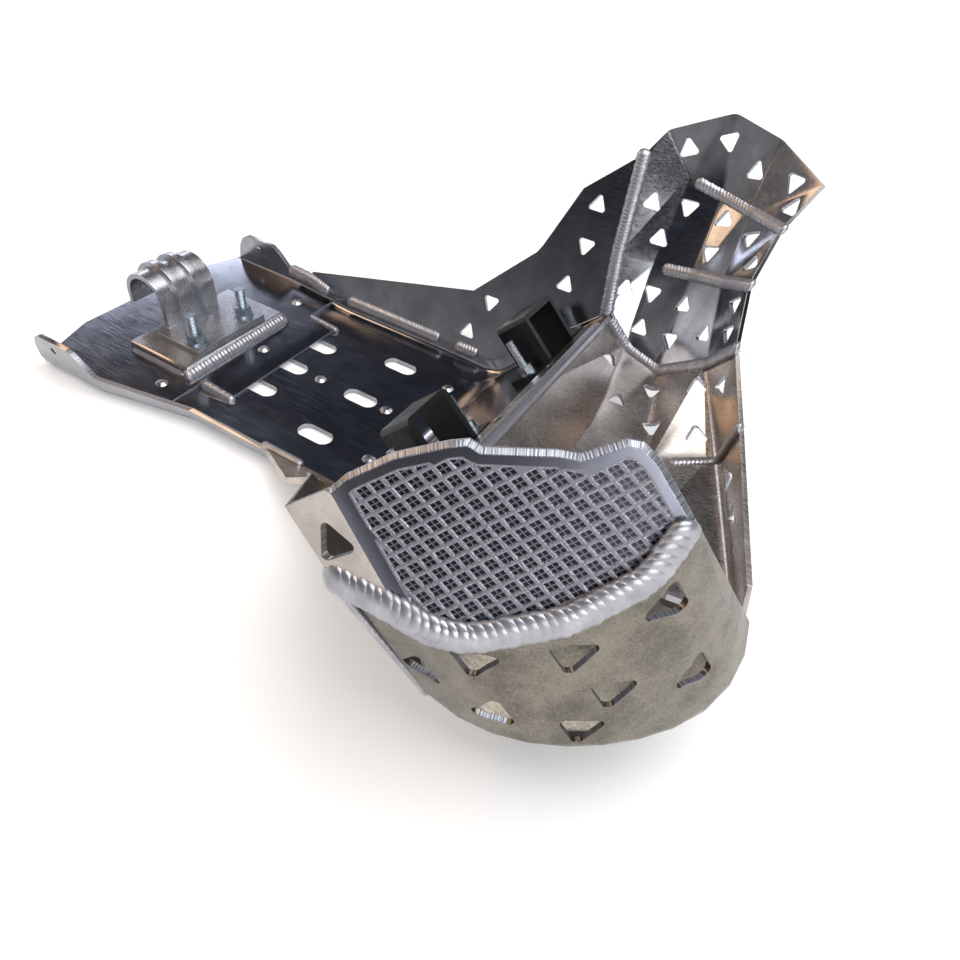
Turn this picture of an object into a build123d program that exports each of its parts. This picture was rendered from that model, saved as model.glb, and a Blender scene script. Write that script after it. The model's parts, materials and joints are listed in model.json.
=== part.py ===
"""Motorcycle skid plate with an exhaust guard, welded from folded aluminium sheet.

Frame, in mm: X to the bike's left, Y to the rear, Z up. Z = 0 is the underside of the
flat floor. The sizes below count Y from the fold line between the floor and the front
incline; the exported parts are moved so that the origin lies on the flat floor, FRAME_Y
behind that fold.
"""

import math
import os

from build123d import *

FRAME_Y = 100.0

# Sheets and folds
T = 4.0                     # base plate, rear plate, wings and engraved panel
GUARD_T = 3.0               # guard shells, trough and return panel
FOLD_R = 9.0                # soft fold radius of the guard sections
SIDE_R = 5.0                # soft fold radius of the base plate's sides
HOLE_R = 9.0                # triangular holes, radius to a corner
NEAR_HOLE_R = 13.5          # the larger holes of the right guard

# Base plate
INCLINE = 45.0              # angle of the front incline, degrees
INCLINE_LEN = 103.0         # from the fold line to the top of the incline
BEND_R = 30.0               # large fold between floor and incline
BASE_REAR = 312.0
FLARE_Y = 150.0             # behind this the sides flare out to the ears
REAR_X = -4.0               # the flared rear sits a little to the right
SIDE_H = 12.0               # height of the upturned sides above the floor
SIDE_H_TOP = 1.5            # the same at the top of the incline
BAND_H = 2.5                # height of the shallow side band at its outer fold
FLOOR_HALF = 61.0
BAND_HALF = 91.0
REAR_BAND_HALF, REAR_WALL_HALF = 103.5, 106.0
TOP_FLOOR_HALF = 122.0      # half width of the incline's flat at its top
SLOT_LEN, SLOT_WID = 29.0, 14.0
SLOT_FRONT_Y, SLOT_FRONT_X = 72.0, 53.5
SLOT_REAR_Y, SLOT_REAR_X = 142.0, 36.0

# Ears at the rear end of the base plate's sides
EAR_H = 29.0                # height above the floor
EAR_FRONT = 244.0
EAR_HOLE_R, EAR_HOLE_BACK, EAR_HOLE_UP = 2.6, 40.0, 20.0
EAR_WELD = [(20, 6), (43, 5), (60, 1)]  # forward of the ear, and up from the stitch line
REAR_NICK_X, REAR_NICK = 58.0, 24.0     # rear corners cut off from here, and how far forward

# Rear plate, pad and saddle
REAR_T = 3.5                # doubler on the floor
LIP_FRONT, LIP_BACK, LIP_EDGE = 148.0, 160.0, 1.5      # bevelled front lip and its edge thickness
TONGUE_HALF, TONGUE_Y = 62.0, 177.0
PAD_X = -10.0               # centre of the pad and the saddle
PAD_HALF, PAD_Y0, PAD_Y1, PAD_T = 53.0, 189.0, 253.0, 8.0
TUBE_R = 17.0               # cross tube that the saddle hooks over
TUBE_Y, TUBE_UP = 258.0, 22.5
SADDLE_HALF, SADDLE_T = 26.0, 4.0
RIB_X = 9.0                 # the saddle's two ribs, from its middle
FOOT_HALF, FOOT_Y0 = 36.0, 194.0
REAR_BOLT_X, REAR_BOLT_Y = 26.0, 208.0

# Frame clamps on the incline
CLAMP_X = 70.0
CLAMP_T, CLAMP_LEN = 4.0, 28.0
CLAMP_HALF = 16.0           # half width of the tunnel over the frame tube
CLAMP_H = 36.0              # its height above the incline
CLAMP_FLANGE = 36.0
CLAMP_BOLT = 30.5
BOLT_STICK = 20.0           # thread that stands out above each nut
BOLT_GAP = 0.3              # clearance of a bolt in its hole, per side

# Cross bar at the top of the incline
BAR_HALF, BAR_W, BAR_T, BAR_HOLE_X = 104.0, 11.0, 4.0, 36.0
BAR_EDGE, CLAMP_GAP = 1.0, 3.0          # from the bar to the incline's top, and down to the clamps
CLAMP_S = INCLINE_LEN - BAR_EDGE - BAR_W - CLAMP_GAP - CLAMP_LEN / 2     # along the incline

# Left wing: flat sheet leaning out from the base plate's left side
WING_LEAN = 62.0            # degrees from level
WING_X0 = 86.6              # where its inner face meets the floor's top level
WING_TOP = [(203, 25), (43, 61)]                            # (y, up the slope)
WING_PEAK = [(1, 106), (-2, 112), (-18, 160), (-47, 188)]   # the same, on the way up to the guard
GUARD_FOOT = [(-53, 193), (-55, 187), (-61, 123), (-69, 82)]                    # weld line to the guard
WING_END = 177.0            # rear end of the wing's straight lower edge
WING_HOLES = [(25, 57, 180), (37, 28, 0), (-30, 90, 0), (-35, 122, 180), (-33, 152, 0)]

# Pipe guard: inner face of each station after its foot on the wing, rear to front. All points of
# the guard were measured with the incline's top at this place, and move with that top.
GUARD_DATUM = (0, -72.832, 72.832)
GUARD_TOP = [(190, -63, 191), (200, -103, 209), (190, -140, 203), (165, -177, 191)]
GUARD_DART_2 = [(187, -88, 164), (185, -114, 160), (172, -138, 160), (148, -164, 164)]
GUARD_DART_1 = [(152, -89, 110), (148, -118, 115), (132, -142, 125), (108, -162, 140)]
GUARD_SEAM = [(124, -92, 52), (115, -122, 49), (95, -156, 82), (78, -172, 110)]
TROUGH_MID = [(22, -74, 75.5), (20, -108, 54), (20, -150, 44), (38, -192, 54), (26, -196, 92)]
TROUGH_END = [(-86, -74, 75.5), (-86, -110, 54), (-86, -165, 46), (-86, -239, 59), (-86, -233, 88)]

# Holes of the guard as (facet, across it, down it)
LEFT_HOLES = [
    [(1, 0.22, 0.40), (1, 0.97, 0.33), (2, 0.72, 0.52), (3, 0.55, 0.30), (3, 0.82, 0.62)],
    [(0, 0.44, 0.35), (1, 0.26, 0.27), (2, 0.33, 0.25), (3, 0.30, 0.32), (0, 0.86, 0.70), (2, 0.26, 0.68),
     (3, 0.68, 0.66)],
    [(0, 0.42, 0.43), (1, 0.16, 0.29), (2, 0.06, 0.30), (3, 0.62, 0.30), (1, 0.15, 0.70), (2, 0.03, 0.66),
     (2, 0.80, 0.62), (3, 0.58, 0.68)],
]
TROUGH_HOLES = [
    [(0, 0.75, 0.27), (1, 0.92, 0.26), (2, 0.81, 0.27), (3, 0.40, 0.31), (1, 0.25, 0.60), (2, 0.05, 0.66),
     (2, 0.74, 0.76)],
    [(3, 0.35, 0.22), (3, 0.35, 0.46)],
]

# Right guard: flat engraved panel with a folded end, outer face
PANEL_POINT = (-189, -148, 163)
PANEL_TILT = 31.0           # leans in at the top, degrees from upright
PANEL_TURN = 20.5           # turned from square-on to the bike's right side
PANEL_RIM = [(-67, 6), (-62, 12), (-46, 23), (-27, 31), (-20, 33), (-15, 31), (11, 35), (19, 35),
             (33, 43), (39, 43), (46, 38), (61, 21)]
PANEL_SEAM = [(-35, -36), (-23, -41), (-8, -41), (27, -26), (52, -4), (61, 21)]
PANEL_END = [(-68, -27), (-86, -7)]
PANEL_END_FOLD = 18.0
RIM_BEVEL = 2.2             # bright bevel along its upper rim
LATTICE_S, LATTICE_H, LATTICE_LINE = 9.0, 7.0, 1.0      # diamond pitch and the rib left between them
LATTICE_MARGIN, LATTICE_LEAST, ENGRAVE = 6.5, 3.0, 0.6  # plain border, smallest diamond, depth

# Right guard: rolled shell below the panel, outer face, and the sheets behind it
SHELL_COLS = 13
SHELL_START = (-202, -124, 49)
SHELL_LOW = [(-202, -128, 49), (-200, -170, 50), (-181, -207, 55), (-143, -240, 65), (-96, -242, 76)]
SHELL_INNER = [(-150, -70, 48), (-86, -110, 51), (-86, -165, 43), (-86, -243, 55)]
SHELL_HOLES = [(0.09, 0.57, 0), (0.275, 0.21, 180), (0.53, 0.22, 180), (0.81, 0.18, 0), (0.575, 0.55, 180),
               (0.775, 0.68, 0), (0.275, 0.71, 0), (0.465, 0.82, 180)]
SHELL_BEVEL, SHELL_DROP = 12.0, 17.0   # narrow facet between the rolled wall and the bottom
WING_ROOT = (-128, 8, 56)   # corner where right wing and return panel meet
WING_START = 82.0           # the right wing starts here on the base plate's side
WING_REAR = (-118, 38, 30)  # outer end of its rear edge

# Weld beads
BEAD, BIG_BEAD, SMALL_BEAD = 4.0, 6.5, 3.0
RIPPLE, RIPPLE_PITCH = 0.16, 6.0

nodes = {}


def unit(v):
    """Vector of length one."""
    return v.normalized()


def newell(points):
    """Normal of a polygon that need not be flat."""
    total = Vector(0, 0, 0)
    for a, b in zip(points, points[1:] + points[:1]):
        total += a.cross(b)
    return unit(total)


def polygon_faces(points):
    """One flat face, or a fan of triangles when the polygon is twisted."""
    n = newell(points)
    if len(points) == 3 or all(abs((p - points[0]).dot(n)) < 2e-8 for p in points):
        return [Face(Wire.make_polygon(points, close=True))]
    return [Face(Wire.make_polygon([points[0], points[k], points[k + 1]], close=True))
            for k in range(1, len(points) - 1)]


def sheet(points, facets, thick=T):
    """Closed sheet: facets wind anticlockwise on the drawn side, thickness goes behind it."""
    points = [Vector(*p) for p in points]
    normals = [[] for _ in points]
    for facet in facets:
        n = newell([points[k] for k in facet])
        for k in facet:
            normals[k].append(n)
    back = []
    for p, ns in zip(points, normals):
        m = unit(sum(ns, Vector(0, 0, 0)))
        back.append(p - m * (thick * len(ns) / sum(m.dot(n) for n in ns)))
    faces, edges = [], set()
    for facet in facets:
        faces += polygon_faces([points[k] for k in facet])
        faces += polygon_faces([back[k] for k in facet])
        edges |= set(zip(facet, facet[1:] + facet[:1]))
    for a, b in edges:
        if (b, a) not in edges:
            faces += polygon_faces([points[a], points[b], back[b], back[a]])
    return Solid(Shell(faces))


def soft(corners, radius, steps=3):
    """Section polyline with each inner corner eased into a few short chords."""
    corners = [Vector(*c) for c in corners]
    out = [corners[0]]
    for a, p, b in zip(corners, corners[1:], corners[2:]):
        ua, ub = unit(a - p), unit(b - p)
        turn = math.pi - math.acos(max(-1.0, min(1.0, ua.dot(ub))))
        reach = min(max(1.5, radius * math.tan(turn / 2)), 0.4 * (a - p).length, 0.4 * (b - p).length)
        start, end = p + ua * reach, p + ub * reach
        for k in range(steps + 1):
            t = k / steps
            out.append(start * (1 - t) ** 2 + p * (2 * t * (1 - t)) + end * t ** 2)
    return out + [corners[-1]]


def strip(rows, thick=T, flip=False):
    """Sheet through section rows that all have the same number of points."""
    wide, facets = len(rows[0]), []
    for i in range(len(rows) - 1):
        for j in range(wide - 1):
            quad = [i * wide + j, i * wide + j + 1, (i + 1) * wide + j + 1, (i + 1) * wide + j]
            facets.append(quad[::-1] if flip else quad)
    return sheet([tuple(p) for row in rows for p in row], facets, thick)


def flowing(points, count):
    """Points evenly spread along a smooth curve through the given ones."""
    curve = Spline(*[Vector(*p) for p in points])
    return [curve @ (k / (count - 1)) for k in range(count)]


def patch(a, b, c, d, u, v):
    """Point and normal on the patch with edges a-b (v = 0) and d-c (v = 1), u across."""
    p = (a * (1 - u) + b * u) * (1 - v) + (d * (1 - u) + c * u) * v
    return p, unit((b - a + c - d).cross(d - a + c - b))


def tri_hole(point, normal, up, spin, radius=HOLE_R, reach=9.0):
    """Cutter for one triangular hole with rounded corners, through a sheet."""
    flat_up = up - normal * up.dot(normal)
    plane = Plane(origin=point, x_dir=unit(flat_up.cross(normal)), z_dir=normal)
    tri = fillet(RegularPolygon(radius, 3, rotation=90 + spin).vertices(), radius * 0.22)
    return extrude(plane * tri, amount=reach, both=True)


def spread(path, pitch):
    """The path with points added at an even pitch along it."""
    out = [path[0]]
    for a, b in zip(path, path[1:]):
        count = max(1, round((b - a).length / pitch))
        out += [a + (b - a) * (k / count) for k in range(1, count + 1)]
    return out


def bead(path, radius=BEAD, rippled=False, sides=8):
    """Weld bead along a chain of points, with blunt ends and optional ripples."""
    path = [Vector(*p) for p in path]
    if rippled:
        path = spread(path, RIPPLE_PITCH / 2)
    tangents = [unit(b - a) for a, b in zip([path[0]] + path[:-1], path[1:] + [path[-1]])]
    across = unit(tangents[0].cross(Vector(0.31, 0.17, 0.93)))
    path = [path[0] - tangents[0] * radius * 0.6] + path + [path[-1] + tangents[-1] * radius * 0.6]
    tangents = [tangents[0]] + tangents + [tangents[-1]]
    rings = []
    for k, (p, t) in enumerate(zip(path, tangents)):
        across = unit(across - t * across.dot(t))
        side = t.cross(across)
        r = radius * (1 - RIPPLE if rippled and k % 2 else 1.0)
        r = radius * 0.6 if k in (0, len(path) - 1) else r
        turns = [2 * math.pi * (q + 0.5) / sides for q in range(sides)]
        rings.append([p + across * (r * math.cos(q)) + side * (r * math.sin(q)) for q in turns])
    faces = polygon_faces(rings[0]) + polygon_faces(rings[-1])
    for a, b in zip(rings, rings[1:]):
        for q in range(sides):
            n = (q + 1) % sides
            faces += polygon_faces([a[q], a[n], b[n], b[q]])
    return Solid(Shell(faces))


def largest(body):
    """The one main solid of a body that a cut may have left crumbs beside."""
    return max(body.solids(), key=lambda s: s.volume)


def keep(name, *bodies):
    """Hold one node for export: a single solid, or a group of them."""
    found = [largest(b) for b in bodies]
    nodes[name] = found[0] if len(found) == 1 else Compound(children=found)


def rod(origin, direction, radius, length):
    """Round bar from a point along a direction."""
    align = (Align.CENTER, Align.CENTER, Align.MIN)
    return Plane(origin=origin, z_dir=direction) * Cylinder(radius, length, align=align)


def hex_bar(origin, direction, across_flats, length):
    """Hexagon bar from a point along a direction."""
    hexagon = RegularPolygon(across_flats / 2, 6, major_radius=False)
    return extrude(Plane(origin=origin, z_dir=direction) * hexagon, amount=length)


ALPHA, LEAN = math.radians(INCLINE), math.radians(WING_LEAN)
UP = Vector(0, 0, 1)
INC_N = Vector(0, math.sin(ALPHA), math.cos(ALPHA))
INC_A = Vector(0, -math.cos(ALPHA), math.sin(ALPHA))
WING_UP = Vector(math.cos(LEAN), 0, math.sin(LEAN))
WING_IN = Vector(-math.sin(LEAN), 0, math.cos(LEAN))


def on_incline(x, s, h=0.0):
    """Point above the incline's top face, s along it from the fold line."""
    return Vector(x, 0, T) + INC_A * s + INC_N * h


def on_wing(y, up):
    """Point on the left wing's inner face."""
    return Vector(WING_X0, y, T) + WING_UP * up


ridge_y, ridge_z = -INCLINE_LEN * math.cos(ALPHA), INCLINE_LEN * math.sin(ALPHA)
lift = Vector(0, ridge_y, ridge_z) - Vector(*GUARD_DATUM)
lift_up = lift.Z / math.sin(LEAN)


def with_ridge(p):
    """A point of the guard, moved with the top of the incline."""
    return Vector(*p) + lift


def foot_on_wing(y, up):
    """A point of the guard's foot on the wing, moved in the wing's plane."""
    return y + lift.Y, up + lift_up


# Base plate: one folded sheet. Its side tops lie in the plane of the wing, which is welded there.

bend_y = BEND_R * math.tan(ALPHA / 2)
stations = [(FLARE_Y, 0, 0, 0), (50, 0, 0, 0)]
for k in range(5):
    turn = ALPHA * k / 4
    stations.append((bend_y - BEND_R * math.sin(turn), BEND_R * (1 - math.cos(turn)), turn, 0.20 + 0.069 * k))
stations.append((ridge_y, ridge_z, ALPHA, 1))
rear_half = [(REAR_WALL_HALF, EAR_H), (REAR_BAND_HALF, 0.6), (FLOOR_HALF + 9, 0.0)]
rear_line = [(REAR_X - x, h) for x, h in rear_half] + [(REAR_X + x, h) for x, h in rear_half[::-1]]
base_rows = [soft([(x, y, T + h) for x, h in rear_line], SIDE_R) for y in (BASE_REAR, EAR_FRONT - 12)]
side_tops = []
for y, z, tilt, grow in stations:
    side_h = SIDE_H + (SIDE_H_TOP - SIDE_H) * (grow if grow == 1 else 0)
    top_z = z + side_h * math.cos(tilt)
    wall = WING_X0 + top_z / math.tan(LEAN)
    floor = FLOOR_HALF + (TOP_FLOOR_HALF - FLOOR_HALF) * grow
    band = max(BAND_HALF, floor + (wall - floor) * 0.55)
    half = [(wall, side_h), (band, side_h * BAND_H / SIDE_H), (floor, 0.0)]
    row = [(-x, h) for x, h in half] + [(x, h) for x, h in half[::-1]]
    base_rows.append(soft([(x, y + h * math.sin(tilt), T + z + h * math.cos(tilt)) for x, h in row], SIDE_R))
    side_tops.append((y + side_h * math.sin(tilt), top_z / math.sin(LEAN)))
base_blank = strip(base_rows, flip=True)
side_z, ear_z = T + SIDE_H, T + EAR_H
over_sides = Polyline([(FLARE_Y, side_z), (EAR_FRONT - 12, side_z), (EAR_FRONT + 3, ear_z - 4),
                       (EAR_FRONT + 10, ear_z), (BASE_REAR - 28, ear_z), (BASE_REAR - 21, ear_z - 4),
                       (BASE_REAR - 17, ear_z - 12), (BASE_REAR - 16, side_z - 8),
                       (BASE_REAR + 9, side_z - 8), (BASE_REAR + 9, ear_z + 60), (FLARE_Y, ear_z + 60)],
                      close=True)
rear_cuts = []
for side in (-1, 1):
    corner = Polyline([(side * REAR_NICK_X, BASE_REAR + 1), (side * 130, BASE_REAR - REAR_NICK),
                       (side * 130, BASE_REAR + 1)], close=True)
    rear_cuts.append(extrude(make_face(corner), amount=T + REAR_T + 1))
side_cut = extrude(Plane.YZ * make_face(over_sides), amount=200, both=True)
base_blank = largest(base_blank - ([side_cut] + rear_cuts))
slot = Rot(0, 0, 90) * SlotOverall(SLOT_LEN, SLOT_WID)
base_cuts = [Pos(x, y, T / 2) * extrude(slot, amount=T, both=True)
             for x, y in [(-SLOT_FRONT_X, SLOT_FRONT_Y), (0, SLOT_FRONT_Y), (SLOT_FRONT_X, SLOT_FRONT_Y),
                          (-SLOT_REAR_X, SLOT_REAR_Y), (0, SLOT_REAR_Y), (SLOT_REAR_X, SLOT_REAR_Y)]]

# Rear plate: a doubler that fills the floor between the sides, with a bevelled tongue at its front

rear_z = T + REAR_T
wide_half = [(TONGUE_HALF, TONGUE_Y), (BAND_HALF + 6, TONGUE_Y), (REAR_BAND_HALF + 2, EAR_FRONT - 12),
             (REAR_BAND_HALF + 2, BASE_REAR)]
wide_line = [(REAR_X * (y > TONGUE_Y) + x, y) for x, y in wide_half]
wide_line += [(REAR_X * (y > TONGUE_Y) - x, y) for x, y in wide_half[::-1]]
wide = Pos(0, 0, T) * extrude(make_face(Polyline(wide_line, close=True)), amount=REAR_T)
bevel = Polyline([(LIP_FRONT, T), (LIP_FRONT, T + LIP_EDGE), (LIP_BACK, rear_z), (TONGUE_Y, rear_z),
                  (TONGUE_Y, T)], close=True)
rear_blank = wide + extrude(Plane.YZ * make_face(bevel), amount=TONGUE_HALF, both=True)
rear_blank = largest(rear_blank - [base_blank] - rear_cuts)
ear_holes = [Pos(0, BASE_REAR - EAR_HOLE_BACK, T + EAR_HOLE_UP) * Rot(0, 90, 0)
             * Cylinder(EAR_HOLE_R, 3 * REAR_WALL_HALF)]

# Rear pad, saddle and their bolts

pad_top = rear_z + PAD_T
pad_blank = Pos(PAD_X, (PAD_Y0 + PAD_Y1) / 2, rear_z + PAD_T / 2) * Box(2 * PAD_HALF, PAD_Y1 - PAD_Y0, PAD_T)
pad_blank = chamfer(pad_blank.faces().sort_by(Axis.Z)[-1].edges(), 1.5)
tube_z, outer_r = pad_top + TUBE_UP, TUBE_R + SADDLE_T
leg_front, leg_back = TUBE_Y - outer_r, TUBE_Y - TUBE_R
foot_top = pad_top + SADDLE_T


def hoop(inner, outer, half, x=0.0):
    """Half ring over the cross tube."""
    flat = Circle(outer) - Circle(inner) - Pos(0, -outer) * Rectangle(2 * outer + 2, 2 * outer)
    plane = Plane(origin=(PAD_X + x, TUBE_Y, tube_z), x_dir=(0, 1, 0), z_dir=(1, 0, 0))
    return extrude(plane * flat, amount=half, both=True)


def block(x0, x1, y0, y1, z0, z1):
    """Box between two corners, x from the middle of the pad."""
    return Pos(PAD_X + (x0 + x1) / 2, (y0 + y1) / 2, (z0 + z1) / 2) * Box(x1 - x0, y1 - y0, z1 - z0)


saddle = hoop(TUBE_R, outer_r, SADDLE_HALF)
saddle += block(-SADDLE_HALF, SADDLE_HALF, leg_front, leg_back, pad_top, tube_z)
saddle += block(-SADDLE_HALF, SADDLE_HALF, TUBE_Y + TUBE_R, TUBE_Y + outer_r, tube_z - 9, tube_z)
saddle += block(-FOOT_HALF, FOOT_HALF, FOOT_Y0, leg_back, pad_top, foot_top)
for x in (-RIB_X, RIB_X):
    saddle += hoop(outer_r, outer_r + 4, 3, x)
    web = Polyline([(leg_front, foot_top), (leg_front - 11, foot_top), (leg_front - 4, foot_top + 14),
                    (leg_front - 4, tube_z), (leg_front, tube_z)], close=True)
    saddle += Pos(PAD_X + x, 0, 0) * extrude(Plane.YZ * make_face(web), amount=3, both=True)

rear_spots = [Vector(PAD_X + x, REAR_BOLT_Y, 0) for x in (-REAR_BOLT_X, REAR_BOLT_X)]
bore_m8 = [rod(p, UP, 4 + BOLT_GAP, 60) for p in rear_spots]
sink = [Pos(*p) * Cone(8, 4, 4, align=(Align.CENTER, Align.CENTER, Align.MIN)) for p in rear_spots]
rear_bolts = [head + rod(p, UP, 4, foot_top + 8.2 + 15) for head, p in zip(sink, rear_spots)]
rear_washers = [rod(p + UP * foot_top, UP, 8, 1.6) - rod(p, UP, 4, 60) for p in rear_spots]
rear_nuts = [hex_bar(p + UP * (foot_top + 1.6), UP, 13, 6.6) - rod(p, UP, 4, 60) for p in rear_spots]

# Frame clamps, their bolts and the cross bar, all square to the incline


def frame_clamp(x):
    """Hat over one frame tube, with two flanges; its tunnel runs up the incline."""
    half, crown = CLAMP_HALF + CLAMP_T, CLAMP_H + CLAMP_T
    hat = Pos(0, crown / 2) * Rectangle(2 * half, crown)
    hat = fillet(hat.vertices().group_by(Axis.Y)[-1], CLAMP_T)
    hat = hat + Pos(0, CLAMP_T / 2) * Rectangle(2 * CLAMP_FLANGE, CLAMP_T)
    hat = hat - Pos(0, CLAMP_H / 2) * Rectangle(2 * CLAMP_HALF, CLAMP_H)
    plane = Plane(origin=on_incline(x, CLAMP_S), x_dir=(1, 0, 0), z_dir=INC_A)
    return extrude(plane * hat, amount=CLAMP_LEN / 2, both=True)


clamp_spots = [side * (CLAMP_X + step) for side in (-1, 1) for step in (-CLAMP_BOLT, CLAMP_BOLT)]
bore_m6 = [rod(on_incline(x, CLAMP_S, -T - 10), INC_N, 3 + BOLT_GAP, 60) for x in clamp_spots]
washer_h, nut_h = CLAMP_T, CLAMP_T + 1.2
clamp_bolts = [hex_bar(on_incline(x, CLAMP_S, -T - 4), INC_N, 10, 4)
               + rod(on_incline(x, CLAMP_S, -T), INC_N, 3, T + nut_h + 5.2 + BOLT_STICK) for x in clamp_spots]
clamp_cores = [rod(on_incline(x, CLAMP_S, -T), INC_N, 3, 60) for x in clamp_spots]
clamp_washers = [rod(on_incline(x, CLAMP_S, washer_h), INC_N, 6, 1.2) - core
                 for x, core in zip(clamp_spots, clamp_cores)]
clamp_nuts = [hex_bar(on_incline(x, CLAMP_S, nut_h), INC_N, 10, 5.2) - core
              for x, core in zip(clamp_spots, clamp_cores)]

bar_s = INCLINE_LEN - BAR_EDGE - BAR_W / 2
bar_plane = Plane(origin=on_incline(0, bar_s), x_dir=(1, 0, 0), z_dir=INC_N)
cross_bar = extrude(bar_plane * SlotOverall(2 * BAR_HALF, BAR_W), amount=BAR_T)
bar_holes = [rod(on_incline(x, bar_s, -9), INC_N, 3, 20) for x in (-BAR_HOLE_X, BAR_HOLE_X)]

# Rivets through the floor and the rear plate

rivet_spots = [(0, 112, T), (0, 47, T), (-52, 24, T), (52, 24, T),
               (0, 172, rear_z), (-80, 200, rear_z), (72, 200, rear_z)]
rivet_lens = [T if z == T else REAR_T for x, y, z in rivet_spots]
rivet_cuts = [rod((x, y, z - deep), UP, 2.4, deep) for (x, y, z), deep in zip(rivet_spots, rivet_lens)]
dome = Cone(4.8, 2.6, 1.8, align=(Align.CENTER, Align.CENTER, Align.MIN))
rivets = [stem + Pos(*spot) * dome for stem, spot in zip(rivet_cuts, rivet_spots)]

# Left wing

wing_plane = Plane(origin=on_wing(0, 0), x_dir=(0, -1, 0), z_dir=WING_IN)
wing_low = side_tops[:0:-1] + [(WING_END, side_tops[0][1]), (WING_END + 19, 18)]
feet = [foot_on_wing(*q) for q in GUARD_FOOT]
wing_line = [(-y, up) for y, up in WING_TOP + [foot_on_wing(*q) for q in WING_PEAK] + feet + wing_low]
wing_blank = extrude(wing_plane * make_face(Polyline(wing_line, close=True)), amount=-T)
wing_blank = largest(wing_blank - [base_blank])
wing_cuts = [tri_hole(on_wing(y, up), WING_IN, WING_UP, spin) for y, up, spin in WING_HOLES]

# Pipe guard: left shell and centre trough

lean_out = Vector(lift_up * math.cos(LEAN), 0, 0)
guard = [[on_wing(*foot)] + [with_ridge(p) + lean_out for p in rest]
         for foot, rest in zip(feet, (GUARD_TOP, GUARD_DART_2, GUARD_DART_1, GUARD_SEAM))]
trough_rows = [guard[-1]] + [[with_ridge(p) for p in row] for row in (TROUGH_MID, TROUGH_END)]


def guard_holes(rows, spots):
    """Cutters on the facets between neighbouring stations, every second one turned over."""
    made = []
    for upper, lower, group in zip(rows, rows[1:], spots):
        for k, (j, u, v) in enumerate(group):
            p, n = patch(upper[j], upper[j + 1], lower[j + 1], lower[j], u, v)
            rise = upper[j] + upper[j + 1] - lower[j] - lower[j + 1]
            made.append(tri_hole(p, n, unit(rise), 180 * (k % 2)))
    return made


left_blank = strip([soft(row, FOLD_R) for row in guard], GUARD_T, flip=True)
left_blank = largest(left_blank - [wing_blank, base_blank])
trough_blank = strip([soft(row, FOLD_R) for row in trough_rows], GUARD_T, flip=True)
trough_blank = largest(trough_blank - [base_blank, wing_blank, left_blank])

# Right guard panel: engraved face and folded end

tilt, turn = math.radians(PANEL_TILT), math.radians(PANEL_TURN)
PANEL_N = Vector(-math.cos(tilt) * math.cos(turn), -math.cos(tilt) * math.sin(turn), math.sin(tilt))
PANEL_S = Vector(math.sin(turn), -math.cos(turn), 0)
PANEL_H = PANEL_S.cross(PANEL_N) * -1


def on_panel(s, h, out=0.0):
    """Point on the right guard panel's outer face, s forward and h up."""
    return with_ridge(PANEL_POINT) + PANEL_S * s + PANEL_H * h + PANEL_N * out


fold_top, fold_low = on_panel(*PANEL_RIM[0]), on_panel(*PANEL_SEAM[0])


def on_end(s, h):
    """Point on the panel's end, folded back about the fold line."""
    axis, angle = unit(fold_low - fold_top), math.radians(PANEL_END_FOLD)
    rel = on_panel(s, h) - fold_top
    side = axis.cross(rel)
    if side.dot(PANEL_N) > 0:
        angle = -angle
    along = axis * axis.dot(rel)
    return fold_top + along + (rel - along) * math.cos(angle) + side * math.sin(angle)


seam = flowing([on_panel(*q) for q in PANEL_SEAM], SHELL_COLS - 1)
rim = [on_panel(*q) for q in PANEL_RIM]
ends = [on_end(*q) for q in PANEL_END]
panel_pts = rim[:-1] + seam[::-1] + ends
count = len(panel_pts) - 2
facets = [list(range(count)), [0, count - 1, count, count + 1]]
facets = [f if newell([panel_pts[k] for k in f]).dot(PANEL_N) > 0 else f[::-1] for f in facets]
panel_blank = sheet([tuple(p) for p in panel_pts], facets)
rim_edges = [e for e in panel_blank.edges()
             if all(min((v.center() - p).length for p in rim) < 0.01 for v in e.vertices())]
panel_body = chamfer(rim_edges, RIM_BEVEL)
end_mid = (panel_pts[0] + panel_pts[count - 1] + panel_pts[count] + panel_pts[count + 1]) * 0.25
panel_cuts = [tri_hole(end_mid, newell([panel_pts[k] for k in facets[1]]), UP, 160, 11.0)]

panel_plane = Plane(origin=with_ridge(PANEL_POINT), x_dir=PANEL_S, z_dir=PANEL_N)
edge_2d = [(p.X, p.Y) for p in (panel_plane.to_local_coords(q) for q in rim[:-1] + seam[::-1])]


def clearance(s, h):
    """Distance from a point of the panel to its outline, negative outside."""
    near, inside = 1e9, False
    for (ax, ay), (bx, by) in zip(edge_2d, edge_2d[1:] + edge_2d[:1]):
        t = ((s - ax) * (bx - ax) + (h - ay) * (by - ay)) / ((bx - ax) ** 2 + (by - ay) ** 2)
        t = max(0.0, min(1.0, t))
        near = min(near, math.hypot(s - ax - t * (bx - ax), h - ay - t * (by - ay)))
        if (ay > h) != (by > h) and s < ax + (h - ay) * (bx - ax) / (by - ay):
            inside = not inside
    return near if inside else -near


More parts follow.
